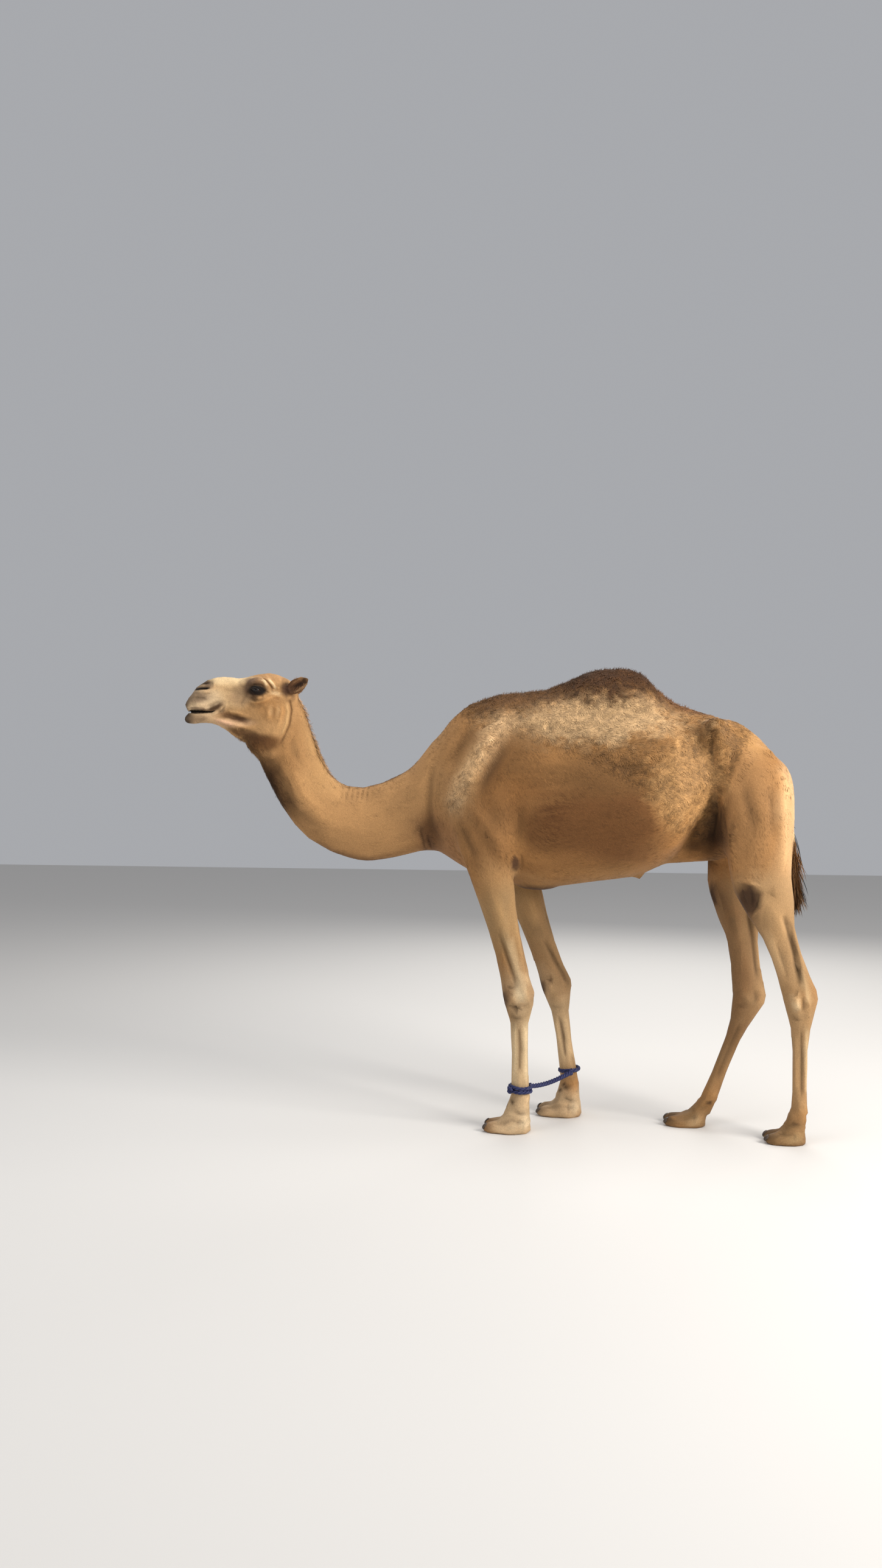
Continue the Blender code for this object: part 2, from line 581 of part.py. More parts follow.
def fill_creases(made, passes, step=0.5):
    """Rounds the hollows where forms meet, and leaves what bulges as it is. The head keeps finer creases."""
    data = made.data
    edges = np.empty(len(data.edges) * 2, np.int32)
    data.edges.foreach_get("vertices", edges)
    edges = edges.reshape(-1, 2)
    points = points_of(made)
    normals = np.empty(len(points) * 3, np.float32)
    count = np.bincount(edges.ravel(), minlength=len(points))[:, None]
    in_head = np.clip((-0.86 - points[:, 0]) / 0.12, 0, 1) * np.clip((points[:, 2] - 1.62) / 0.06, 0, 1)
    share = (1 - 0.86 * in_head)[:, None]
    for _ in range(passes):
        data.vertices.foreach_get("normal", normals)
        outward = normals.reshape(-1, 3)
        total = np.stack([
            np.bincount(edges[:, 0], points[edges[:, 1], k], len(points))
            + np.bincount(edges[:, 1], points[edges[:, 0], k], len(points)) for k in range(3)
        ], axis=1)
        pull = total / count - points
        out = (pull * outward).sum(1, keepdims=True)
        points += step * share * np.where(out > 0, pull, 0.15 * (pull - out * outward))
        data.vertices.foreach_set("co", points.astype(np.float32).ravel())
        data.update()
    return made


def thin_out(made, triangles, weight_of=None):
    """Fewer, larger facets. weight_of gives the share of thinning at each point."""
    data = made.data
    data.calc_loop_triangles()
    modifier = made.modifiers.new("thin out", "DECIMATE")
    modifier.ratio = triangles / len(data.loop_triangles)
    modifier.use_collapse_triangulate = True
    if weight_of is not None:
        group = made.vertex_groups.new(name="thinning")
        for k, weight in enumerate(weight_of(points_of(made))):
            group.add([k], float(weight), "REPLACE")
        modifier.vertex_group = group.name
        modifier.vertex_group_factor = 1.0
    apply_modifiers(made)
    made.vertex_groups.clear()
    return made


def blade(points, middle, breadth, turn=None):
    """A thin bent sheet that parts the body: a line of (x, z) points, drawn out along Y."""
    line = [Vector((x, 0, z)) for x, z in points]
    edges = {-1: [], 1: []}
    for k, point in enumerate(line):
        run = (line[min(k + 1, len(line) - 1)] - line[max(k - 1, 0)]).normalized()
        for face, row in edges.items():
            row.append(point + Vector((-run.z, 0, run.x)) * face * CUT / 2)
    outline = edges[1] + edges[-1][::-1]
    mesh = bmesh.new()
    near, far = (
        [mesh.verts.new(point + Vector((0, middle + side * breadth / 2, 0))) for point in outline]
        for side in (-1, 1)
    )
    for k in range(len(outline)):
        after = (k + 1) % len(outline)
        mesh.faces.new((near[k], near[after], far[after], far[k]))
    for k in range(len(line) - 1):
        other = len(outline) - 1 - k
        for row in (near, far):
            mesh.faces.new((row[k], row[k + 1], row[other - 1], row[other]))
    bmesh.ops.recalc_face_normals(mesh, faces=mesh.faces)
    if turn is not None:
        bmesh.ops.transform(mesh, matrix=turn, verts=mesh.verts)
    return finish_mesh("blade", mesh)


def blades():
    cuts = [blade(points, middle, breadth) for points, middle, breadth in CUTS]
    cuts.append(blade([(-ahead, z) for ahead, z in MOUTH], 0, MOUTH_BREADTH, turn=head_frame()))
    for side in (-1, 1):
        ahead, out, height = EYE_PLACE
        radius = EYE_RADIUS + CLEARANCE
        place = head_point(ahead, side * out, height)
        cuts.append(ellipsoid("socket", place, (radius,) * 3, None, *EYE_GRID))
    cuts.append(box("floor cut", (0, 0, -0.5), (4, 2, 1)))
    return cuts


def part_body(body):
    """Cuts the body and gives each loose piece the name of the place nearest to its middle."""
    cutters = blades()
    mesh = bmesh.new()
    for cutter in cutters:
        mesh.from_mesh(cutter.data)
    discard(*cutters)
    cutter = finish_mesh("cuts", mesh)
    combine(body, cutter, "DIFFERENCE")
    discard(cutter)
    pieces = {}
    for piece in loose_pieces(body):
        middle = points_of(piece).mean(0)
        name = min(PIECES, key=lambda key: np.linalg.norm(middle - PIECES[key]))
        piece.name = name
        pieces[name] = piece
    discard(body)
    return pieces


def loose_pieces(made, smallest=30):
    """A new object for each connected part with at least this many faces."""
    mesh = bmesh.new()
    mesh.from_mesh(made.data)
    mesh.faces.ensure_lookup_table()
    seen = set()
    found = []
    for start in mesh.faces:
        if start.index in seen:
            continue
        island, front = {start.index}, [start]
        while front:
            for edge in front.pop().edges:
                for face in edge.link_faces:
                    if face.index not in island:
                        island.add(face.index)
                        front.append(face)
        seen |= island
        if len(island) >= smallest:
            found.append(island)
    pieces = []
    for island in found:
        part = mesh.copy()
        part.faces.ensure_lookup_table()
        others = [face for face in part.faces if face.index not in island]
        bmesh.ops.delete(part, geom=others, context="FACES")
        pieces.append(finish_mesh("piece", part))
    mesh.free()
    return pieces


def grown(made, distance):
    """A copy whose surface stands this far outside."""
    copy = made.copy()
    copy.data = made.data.copy()
    bpy.context.scene.collection.objects.link(copy)
    modifier = copy.modifiers.new("grow", "DISPLACE")
    modifier.strength = distance
    modifier.mid_level = 0
    return apply_modifiers(copy)


def set_on(name, form, *bases):
    """Trims a form so that it meets each base, and keeps its largest piece."""
    for base in bases:
        combine(form, base, "DIFFERENCE")
    pieces = loose_pieces(form, smallest=4)
    discard(form)
    pieces.sort(key=lambda piece: np.ptp(points_of(piece), axis=0).prod())
    discard(*pieces[:-1])
    pieces[-1].name = name
    return pieces[-1]


def ear(side):
    """A leaf with a scooped inner face that looks outwards and forwards."""
    shell, scoop = [], []
    ahead, out, height = EAR_BASE
    for share, width in EAR_FORM:
        back, outward, upward = (lean * EAR_LENGTH * share for lean in EAR_LEAN)
        centre = head_point(ahead - back, side * (out + outward), height + upward)
        facing = Vector((EAR_FACING[0], side * EAR_FACING[1], EAR_FACING[2])).normalized()
        depth = head_frame().to_3x3() @ facing * width * EAR_DEPTH
        shell.append([*centre, *depth, *(-depth), width * EAR_HALF_WIDTH, OVAL])
        if SCOOP_FROM < share < SCOOP_TO:
            inner = centre + depth * SCOOP_OUT
            scooped = depth * SCOOP_DEPTH
            scoop.append([*inner, *scooped, *(-scooped), width * (EAR_HALF_WIDTH - EAR_WALL), OVAL])
    leaf = loft("ear form", shell, around=12)
    hollow = loft("ear scoop", scoop, around=10)
    combine(leaf, hollow, "DIFFERENCE")
    discard(hollow)
    return leaf


def tail_form():
    rings = [(Vector((x, 0, z)), depth, width) for _, x, z, depth, width in TAIL]
    return sagittal_loft("tail form", rings, span=TAIL_SPAN, around=12)


def nail_form(joints, side):
    toe, _, half_width = joints["sole"]
    middle = joints["fetlock"][2]
    place = Vector((toe + NAIL_PLACE[0], middle + side * half_width * TOE_SPREAD, NAIL_PLACE[1]))
    lean = Matrix.Rotation(side * NAIL_SPLAY, 4, "Z") @ Matrix.Rotation(-NAIL_SLOPE, 4, "Y")
    return ellipsoid("nail form", place, NAIL_RADII, lean, 8, 6)


def loop_form(centre, half_axes, thickness, tilt):
    """A closed band of rope round a pastern."""
    mesh = bmesh.new()
    turns, around = LOOP_GRID
    rings = []
    for step in range(turns):
        angle = 2 * math.pi * step / turns
        outward = Vector((math.cos(angle), math.sin(angle), 0))
        middle = Vector((half_axes[0] * outward.x, half_axes[1] * outward.y, 0))
        ring = []
        for k in range(around):
            corner = 2 * math.pi * k / around
            out, up = thickness[0] * math.cos(corner), thickness[1] * math.sin(corner)
            ring.append(mesh.verts.new(middle + outward * out + Vector((0, 0, up))))
        rings.append(ring)
    for step in range(turns):
        first, second = rings[step], rings[(step + 1) % turns]
        for k in range(around):
            after = (k + 1) % around
            mesh.faces.new((first[k], first[after], second[after], second[k]))
    bmesh.ops.recalc_face_normals(mesh, faces=mesh.faces)
    place = Matrix.Translation(centre) @ Matrix.Rotation(tilt, 4, "Y")
    bmesh.ops.transform(mesh, matrix=place, verts=mesh.verts)
    return finish_mesh("loop form", mesh)


def link():
    """The rope between the loops."""
    curve = bpy.data.curves.new("hobble_link", "CURVE")
    curve.dimensions = "3D"
    spline = curve.splines.new("POLY")
    spline.points.add(len(LINK_ROUTE) - 1)
    for point, place in zip(spline.points, LINK_ROUTE):
        point.co = (*place, 1)
    curve.bevel_depth = ROPE_RADIUS
    curve.bevel_resolution = 2
    curve.use_fill_caps = True
    made = bpy.data.objects.new("hobble_link", curve)
    bpy.context.scene.collection.objects.link(made)
    return made


def paint(made, finish):
    material = bpy.data.materials.get(finish) or bpy.data.materials.new(finish)
    material.use_nodes = True
    shader = material.node_tree.nodes["Principled BSDF"]
    colour, roughness = FINISHES[finish]
    shader.inputs["Base Color"].default_value = colour
    shader.inputs["Roughness"].default_value = roughness
    made.data.materials.clear()
    made.data.materials.append(material)


def finish_of(name):
    if name.startswith(("hump", "trunk")):
        return "woolly coat"
    if name.startswith(("fore", "hind")) and "_nail_" not in name:
        return "pale leg coat"
    if "_nail_" in name:
        return "nail"
    for start, finish in OWN_FINISHES:
        if name.startswith(start):
            return finish
    return "short coat"


def press_flanks(made):
    """The hollow on each side between the round of the belly and the thigh."""
    points = points_of(made)
    (middle_x, middle_z), (half_width, half_height), lean, depth = FLANK_HOLLOW
    x, z = points[:, 0] - middle_x, points[:, 2] - middle_z
    across = (x * math.cos(lean) + z * math.sin(lean)) / half_width
    along = (z * math.cos(lean) - x * math.sin(lean)) / half_height
    share = np.clip(1 - across**2 - along**2, 0, 1) ** 1.5
    clear_of_middle = np.clip((np.abs(points[:, 1]) - 0.05) / 0.08, 0, 1)
    points[:, 1] -= np.sign(points[:, 1]) * depth * share * clear_of_middle
    made.data.vertices.foreach_set("co", points.astype(np.float32).ravel())
    made.data.update()
    return made


def flesh():
    """The body as one surface: first thinned evenly, then with the head kept."""
    body = press_flanks(fill_creases(fuse("body", body_forms(), VOXEL), passes=CREASE_PASSES))
    thin_out(body, FIRST_TRIANGLES)
    return thin_out(body, BODY_TRIANGLES, lambda points: 1.0 - head_share(points))


def head_share(points):
    """1 on the head and 0 elsewhere."""
    forward = np.clip((-0.87 - points[:, 0]) / 0.06, 0, 1)
    return forward * np.clip((points[:, 2] - 1.70) / 0.05, 0, 1)


def camel():
    pieces = part_body(flesh())
    bases = {name: grown(piece, CLEARANCE) for name, piece in pieces.items()
             if name in ("head", "trunk") or "leg_" in name or "foot" in name}
    for side, word in ((-1, "left"), (1, "right")):
        pieces[f"ear_{word}"] = set_on(f"ear_{word}", ear(side), bases["head"])
        eye_place = head_point(EYE_PLACE[0], side * EYE_PLACE[1], EYE_PLACE[2])
        pieces[f"eye_{word}"] = ellipsoid(f"eye_{word}", eye_place, (EYE_RADIUS,) * 3, None, *EYE_GRID)
    for foot, joints in FEET:
        for side, word in ((-1, "near"), (1, "off")):
            name = f"{foot}_nail_{word}"
            pieces[name] = set_on(name, nail_form(joints, side), bases[foot])
    pad = ellipsoid("pad form", *CHEST_PAD, None, 14, 8)
    pieces["chest_pad"] = set_on("chest_pad", pad, bases["trunk"])
    rump = (bases[name] for name in ("trunk", "hindleg_left_upper", "hindleg_right_upper"))
    part_tail(set_on("tail", tail_form(), *rump), pieces)
    for name, sizes in LOOPS.items():
        word = name.rsplit("_", 1)[1]
        form = loop_form(*sizes)
        if word == "left":
            knot = ellipsoid("knot form", *HOBBLE_KNOT, None, 10, 6)
            combine(form, knot, "UNION")
            discard(knot)
        pieces[name] = set_on(name, form, bases[f"foreleg_{word}_lower"])
    pieces["hobble_link"] = link()
    discard(*bases.values())
    stand = bpy.data.objects.new("camel", None)
    bpy.context.scene.collection.objects.link(stand)
    stand.location = (-ORIGIN[0], -ORIGIN[1], 0)
    for name, piece in pieces.items():
        paint(piece, finish_of(name))
        piece.parent = stand


def part_tail(tail, pieces):
    cutter = box("tail cut", (1.32, 0, TUFT_TOP), (0.2, 0.2, CUT))
    combine(tail, cutter, "DIFFERENCE")
    discard(cutter)
    upper, lower = sorted(loose_pieces(tail), key=lambda piece: -points_of(piece)[:, 2].mean())
    discard(tail)
    for name, piece in (("tail_dock", upper), ("tail_tuft", lower)):
        piece.name = name
        pieces[name] = piece


clear_scene()
camel()
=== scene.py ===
"""A dromedary camel in its short desert coat, standing hobbled on a studio floor.

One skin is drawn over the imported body, sculpted, and dressed with tufts of hair that follow the lie of the
coat. Eyes, toe nails, tail hair and the rope hobble are pieces of their own. +Z is up and the camel faces -X.
Lengths are in metres, and the tables of places in millimetres.
"""

import math

import bpy
import numpy as np
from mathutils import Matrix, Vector
from mathutils.kdtree import KDTree


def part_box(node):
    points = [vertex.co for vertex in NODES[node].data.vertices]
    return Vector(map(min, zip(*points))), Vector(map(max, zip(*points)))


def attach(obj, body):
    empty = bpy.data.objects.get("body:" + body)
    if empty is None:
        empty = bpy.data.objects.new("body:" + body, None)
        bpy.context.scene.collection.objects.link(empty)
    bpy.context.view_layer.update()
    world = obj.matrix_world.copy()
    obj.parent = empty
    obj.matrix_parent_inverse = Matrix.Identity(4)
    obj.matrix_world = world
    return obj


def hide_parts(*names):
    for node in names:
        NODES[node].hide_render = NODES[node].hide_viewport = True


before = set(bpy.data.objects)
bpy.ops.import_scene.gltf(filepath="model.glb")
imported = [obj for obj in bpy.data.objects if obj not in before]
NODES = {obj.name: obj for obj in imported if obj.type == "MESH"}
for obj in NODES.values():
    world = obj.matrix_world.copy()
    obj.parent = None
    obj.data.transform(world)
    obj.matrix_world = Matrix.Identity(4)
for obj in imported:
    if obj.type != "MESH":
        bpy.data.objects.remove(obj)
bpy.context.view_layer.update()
LEGS = ("foreleg_left", "foreleg_right", "hindleg_left", "hindleg_right")
FEET = ("forefoot_left", "forefoot_right", "hindfoot_left", "hindfoot_right")
FLESH = ["head", "lower_jaw", "ear_left", "ear_right", "neck_upper", "neck_lower", "trunk", "hump"]
FLESH += ["chest_pad", "tail_dock", *FEET]
FLESH += [f"{leg}_{length}" for leg in LEGS for length in ("upper", "lower")]
MM = 0.001
TINY = 1e-9
VOXEL = 5 * MM  # grain of the skin before it is thinned
SKIN_TRIANGLES = 185000
WELD = 0.01 * MM  # points nearer than this are one
SKIN_SHADE = 0.92  # the skin lies in the shade of its hair


# ---------------------------------------------------------------- places

def middle(node):
    low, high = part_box(node)
    return (Vector(low) + Vector(high)) / 2


EYE_LEFT, EYE_RIGHT = middle("eye_left"), middle("eye_right")
EYE_RADIUS = (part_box("eye_left")[1][2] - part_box("eye_left")[0][2]) / 2
EYE_AHEAD = 0.135  # the eyes lie this far in front of the poll, where the head's own line starts
OUTWARD = (EYE_RIGHT - EYE_LEFT).normalized()  # from the middle of the head to its right side
AHEAD = Vector((0, 0, 1)).cross(OUTWARD) * -1
if AHEAD.x > 0:
    AHEAD = -AHEAD
POLL = (EYE_LEFT + EYE_RIGHT) / 2 - AHEAD * EYE_AHEAD
POLL.z = 0


def head_places(points):
    """How far each point lies ahead, out and up in the head's own line."""
    away = points - np.array(POLL)
    return np.stack([away @ np.array(AHEAD), away @ np.array(OUTWARD), points[:, 2]], axis=1)


def metres(places):
    """Places written in millimetres, as an array in metres."""
    return np.array(places, float) / 1000


def unit(vectors, spare=0.0):
    """Each vector brought to length 1. Spare keeps the division sound where a vector may be nothing."""
    return vectors / (np.linalg.norm(vectors, axis=-1)[..., None] + spare)


def smooth_step(value, low, high):
    """0 below low, 1 above high, and a soft rise between them."""
    share = np.clip((value - low) / (high - low), 0, 1)
    return share * share * (3 - 2 * share)


def near(points, centre, radii):
    """1 at a place, falling to 0 on an ellipsoid round it. Its middle and half sizes are in millimetres."""
    away = ((points - metres(centre)) / metres(radii)) ** 2
    return np.clip(1 - away.sum(1), 0, 1) ** 2


def on_head(points):
    """1 on the head, 0 behind the throat. The border runs aslant, further back above than below."""
    place = head_places(points)
    border = place[:, 0] + 0.55 * (place[:, 2] - 1.78)
    return smooth_step(border, -0.075, 0.015) * smooth_step(place[:, 2], 1.60, 1.68)


def on_legs(points):
    """1 below the elbow and the thigh, 0 on the trunk."""
    hind = smooth_step(points[:, 0], 0.45, 0.60)
    return 1 - smooth_step(points[:, 2], 1.00 + 0.04 * hind, 1.12 + 0.08 * hind)


# In every table, places and sizes are in millimetres. A place of two numbers is one in the side view: x, or
# on the head the way ahead of the poll, and then the height over the floor.

# How low the curled wool comes down along the body, and the shoulder ridge that it also covers.
WOOL_EDGE = (
    ((-200, 1780), (100, 1700), (250, 1650), (370, 1610), (470, 1560), (600, 1490))
    + ((700, 1370), (780, 1270), (900, 1250), (960, 1420), (1050, 1640), (1200, 1800))
)
WOOLLY_RIDGE = ((30, 1760), (-60, 1610), (-130, 1500), (-160, 1420))


def ridge_share(points):
    """1 along the woolly ridge of each shoulder."""
    aside = smooth_step(np.abs(points[:, 1]), 0.05, 0.12)
    return np.exp(-((from_line(points[:, [0, 2]], WOOLLY_RIDGE) / 0.050) ** 2)) * aside


def wool_share(points):
    """1 where the coat is curled wool: hump, withers, back, upper ribs, flank and shoulder ridge."""
    x, _, z = points.T
    edge = np.interp(x, *metres(WOOL_EDGE).T)
    wool = smooth_step(z, edge - 0.05, edge + 0.08)
    wool = wool * smooth_step(x, -0.26, -0.08) * (1 - smooth_step(x, 1.02, 1.20))
    return np.maximum(wool, 0.8 * ridge_share(points))


# The neck's own edges: under it from the jaw to the breast, and along its back from the ears to the withers.
THROAT_LINE = (
    (-1100, -190, 1690),
    (-1060, -180, 1610),
    (-1010, -160, 1500),
    (-950, -130, 1380),
    (-870, -100, 1270),
    (-750, -60, 1190),
    (-620, -30, 1150),
    (-500, -10, 1160),
    (-360, 0, 1180),
)
NAPE_LINE = (
    (-900, -120, 1900),
    (-860, -100, 1835),
    (-840, -90, 1765),
    (-820, -80, 1690),
    (-790, -70, 1610),
    (-750, -60, 1545),
    (-680, -40, 1500),
    (-600, -20, 1490),
    (-490, -10, 1525),
    (-380, 0, 1590),
)


# ---------------------------------------------------------------- mesh tools

def read_vectors(piece, kind):
    """One vector of a kind, co or normal, for each point of a piece."""
    flat = np.empty(len(piece.data.vertices) * 3, np.float32)
    piece.data.vertices.foreach_get(kind, flat)
    return flat.reshape(-1, 3).astype(float)


def points_of(piece):
    return read_vectors(piece, "co")


def normals_of(piece):
    return read_vectors(piece, "normal")


def set_points(piece, points):
    piece.data.vertices.foreach_set("co", points.astype(np.float32).ravel())
    piece.data.update()


def deselect():
    if bpy.context.object and bpy.context.object.mode != "OBJECT":
        bpy.ops.object.mode_set(mode="OBJECT")
    bpy.ops.object.select_all(action="DESELECT")


def choose(piece):
    deselect()
    piece.select_set(True)
    bpy.context.view_layer.objects.active = piece


def edit_all(piece, operator, **settings):
    """Runs one edit-mode operator on the whole of a piece."""
    choose(piece)
    bpy.ops.object.mode_set(mode="EDIT")
    bpy.ops.mesh.select_all(action="SELECT")
    operator(**settings)
    bpy.ops.object.mode_set(mode="OBJECT")


def round_off(piece):
    choose(piece)
    bpy.ops.object.shade_smooth()


def modify(piece, kind, **settings):
    """Applies one modifier with its settings."""
    choose(piece)
    modifier = piece.modifiers.new(kind.lower(), kind)
    for key, value in settings.items():
        setattr(modifier, key, value)
    bpy.ops.object.modifier_apply(modifier=modifier.name)


def settle(piece):
    """Puts a piece's place into its mesh."""
    choose(piece)
    bpy.ops.object.transform_apply(location=True, rotation=True, scale=True)


def group(piece, name, shares, levels=20):
    """A vertex group from a share for each point, in a few steps."""
    made = piece.vertex_groups.new(name=name)
    steps = np.round(np.clip(shares, 0, 1) * levels).astype(int)
    for step in range(1, levels + 1):
        chosen = np.nonzero(steps == step)[0]
        if len(chosen):
            made.add(chosen.tolist(), step / levels, "REPLACE")
    return name


def relax(piece, shares, rounds):
    """Smooths, then gives back what smoothing took from the broad form."""
    name = group(piece, "relax", shares)
    before = points_of(piece)
    modify(piece, "SMOOTH", factor=0.5, iterations=rounds, vertex_group=name)
    after = points_of(piece)
    set_points(piece, before - after)
    modify(piece, "SMOOTH", factor=0.5, iterations=rounds, vertex_group=name)
    set_points(piece, after + points_of(piece))
    piece.vertex_groups.clear()


def from_arrays(name, points, triangles):
    """A smooth mesh object straight from its arrays."""
    data = bpy.data.meshes.new(name)
    data.vertices.add(len(points))
    data.vertices.foreach_set("co", np.asarray(points, np.float32).ravel())
    data.loops.add(triangles.size)
    data.loops.foreach_set("vertex_index", triangles.astype(np.int32).ravel())
    data.polygons.add(len(triangles))
    data.polygons.foreach_set("loop_start", np.arange(0, triangles.size, 3, dtype=np.int32))
    data.polygons.foreach_set("use_smooth", np.ones(len(triangles), bool))
    data.update(calc_edges=True)
    made = bpy.data.objects.new(name, data)
    bpy.context.scene.collection.objects.link(made)
    return made


# ---------------------------------------------------------------- skin: form

def copy_of(node, name):
    """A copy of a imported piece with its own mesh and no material."""
    made = bpy.data.objects.new(name, NODES[node].data.copy())
    bpy.context.scene.collection.objects.link(made)
    made.data.materials.clear()
    return made


def skin_form():
    """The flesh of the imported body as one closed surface, with the eye sockets filled for the lids."""
    parts = [copy_of(name, "flesh") for name in FLESH]
    radius = EYE_RADIUS + 1.5 * MM
    for eye in (EYE_LEFT, EYE_RIGHT):
        bpy.ops.mesh.primitive_uv_sphere_add(segments=32, ring_count=20, radius=radius, location=eye)
        parts.append(bpy.context.object)
    deselect()
    for part in parts:
        part.select_set(True)
    bpy.context.view_layer.objects.active = parts[0]
    bpy.ops.object.join()
    skin = bpy.context.object
    skin.name = "skin"
    settle(skin)
    edit_all(skin, bpy.ops.mesh.remove_doubles, threshold=WELD)
    modify(skin, "REMESH", mode="VOXEL", voxel_size=VOXEL)
    return skin


def even_out(skin):
    """Takes the flat facets out of the form: most on the trunk, least on the head."""
    points = points_of(skin)
    head, legs = on_head(points), on_legs(points)
    trunk = (1 - head) * (1 - legs) * smooth_step(points[:, 0], -0.75, -0.35)
    relax(skin, trunk, 150)
    relax(skin, (1 - head) * (1 - 0.6 * legs), 36)
    relax(skin, 1 - 0.55 * head, 6)


def coat_depth(points):
    """How far the skin lies inside the outer line of the coat: deepest under wool, least on head and legs."""
    head, legs, wool = on_head(points), on_legs(points), wool_share(points)
    neck = 1 - smooth_step(points[:, 0], -0.45, -0.25)
    hump = near(points, (500, 0, 1980), (420, 300, 160))
    depth = 6 * MM + 7 * MM * wool - 2 * MM * neck + 5 * MM * hump
    depth = depth * (1 - legs) + 2 * MM * legs
    depth = depth * (1 - head) + 1.5 * MM * head
    return depth * smooth_step(points[:, 2], 0.01, 0.12) + 0.2 * MM


# ---------------------------------------------------------------- skin: sculpting

def from_line(points, line):
    """How far each point lies from a line of places."""
    nearest = np.full(len(points), np.inf)
    line = metres(line)
    for start, end in zip(line, line[1:]):
        run = end - start
        share = np.clip(((points - start) @ run) / (run @ run), 0, 1)
        nearest = np.minimum(nearest, np.linalg.norm(points - start - share[:, None] * run, axis=1))
    return nearest


def end_fade(points, line, reach):
    """Falls to 0 at both ends of a line, so that a fold or a marking runs out into the form."""
    line = metres(line)
    length = np.linalg.norm(np.diff(line, axis=0), axis=1).sum()
    ends = np.minimum(*(np.linalg.norm(points - end, axis=1) for end in (line[0], line[-1])))
    return smooth_step(ends, 0, min(reach, 0.4 * length))


def drawn_relief(plane, flank, facing, rows):
    """Height at each point of the ridges and grooves drawn in the side view. A row is its name, its side (-1
    left, 1 right, 0 both), its line, its width and its height, a groove below zero. Flank is how far right a
    point lies, and facing how far it looks sideways."""
    total = np.zeros(len(plane))
    for _, side, line, width, height in rows:
        ends = metres(line)
        width, reach = width * MM, 3 * width * MM
        chosen = ((plane > ends.min(0) - reach) & (plane < ends.max(0) + reach)).all(1)
        chosen = np.nonzero(chosen & (flank * side >= 0))[0]
        share = np.exp(-((from_line(plane[chosen], line) / width) ** 2))
        share *= end_fade(plane[chosen], line, 7 * width) * smooth_step(np.abs(facing[chosen]), 0.15, 0.6)
        total[chosen] += height * MM * share
    return total


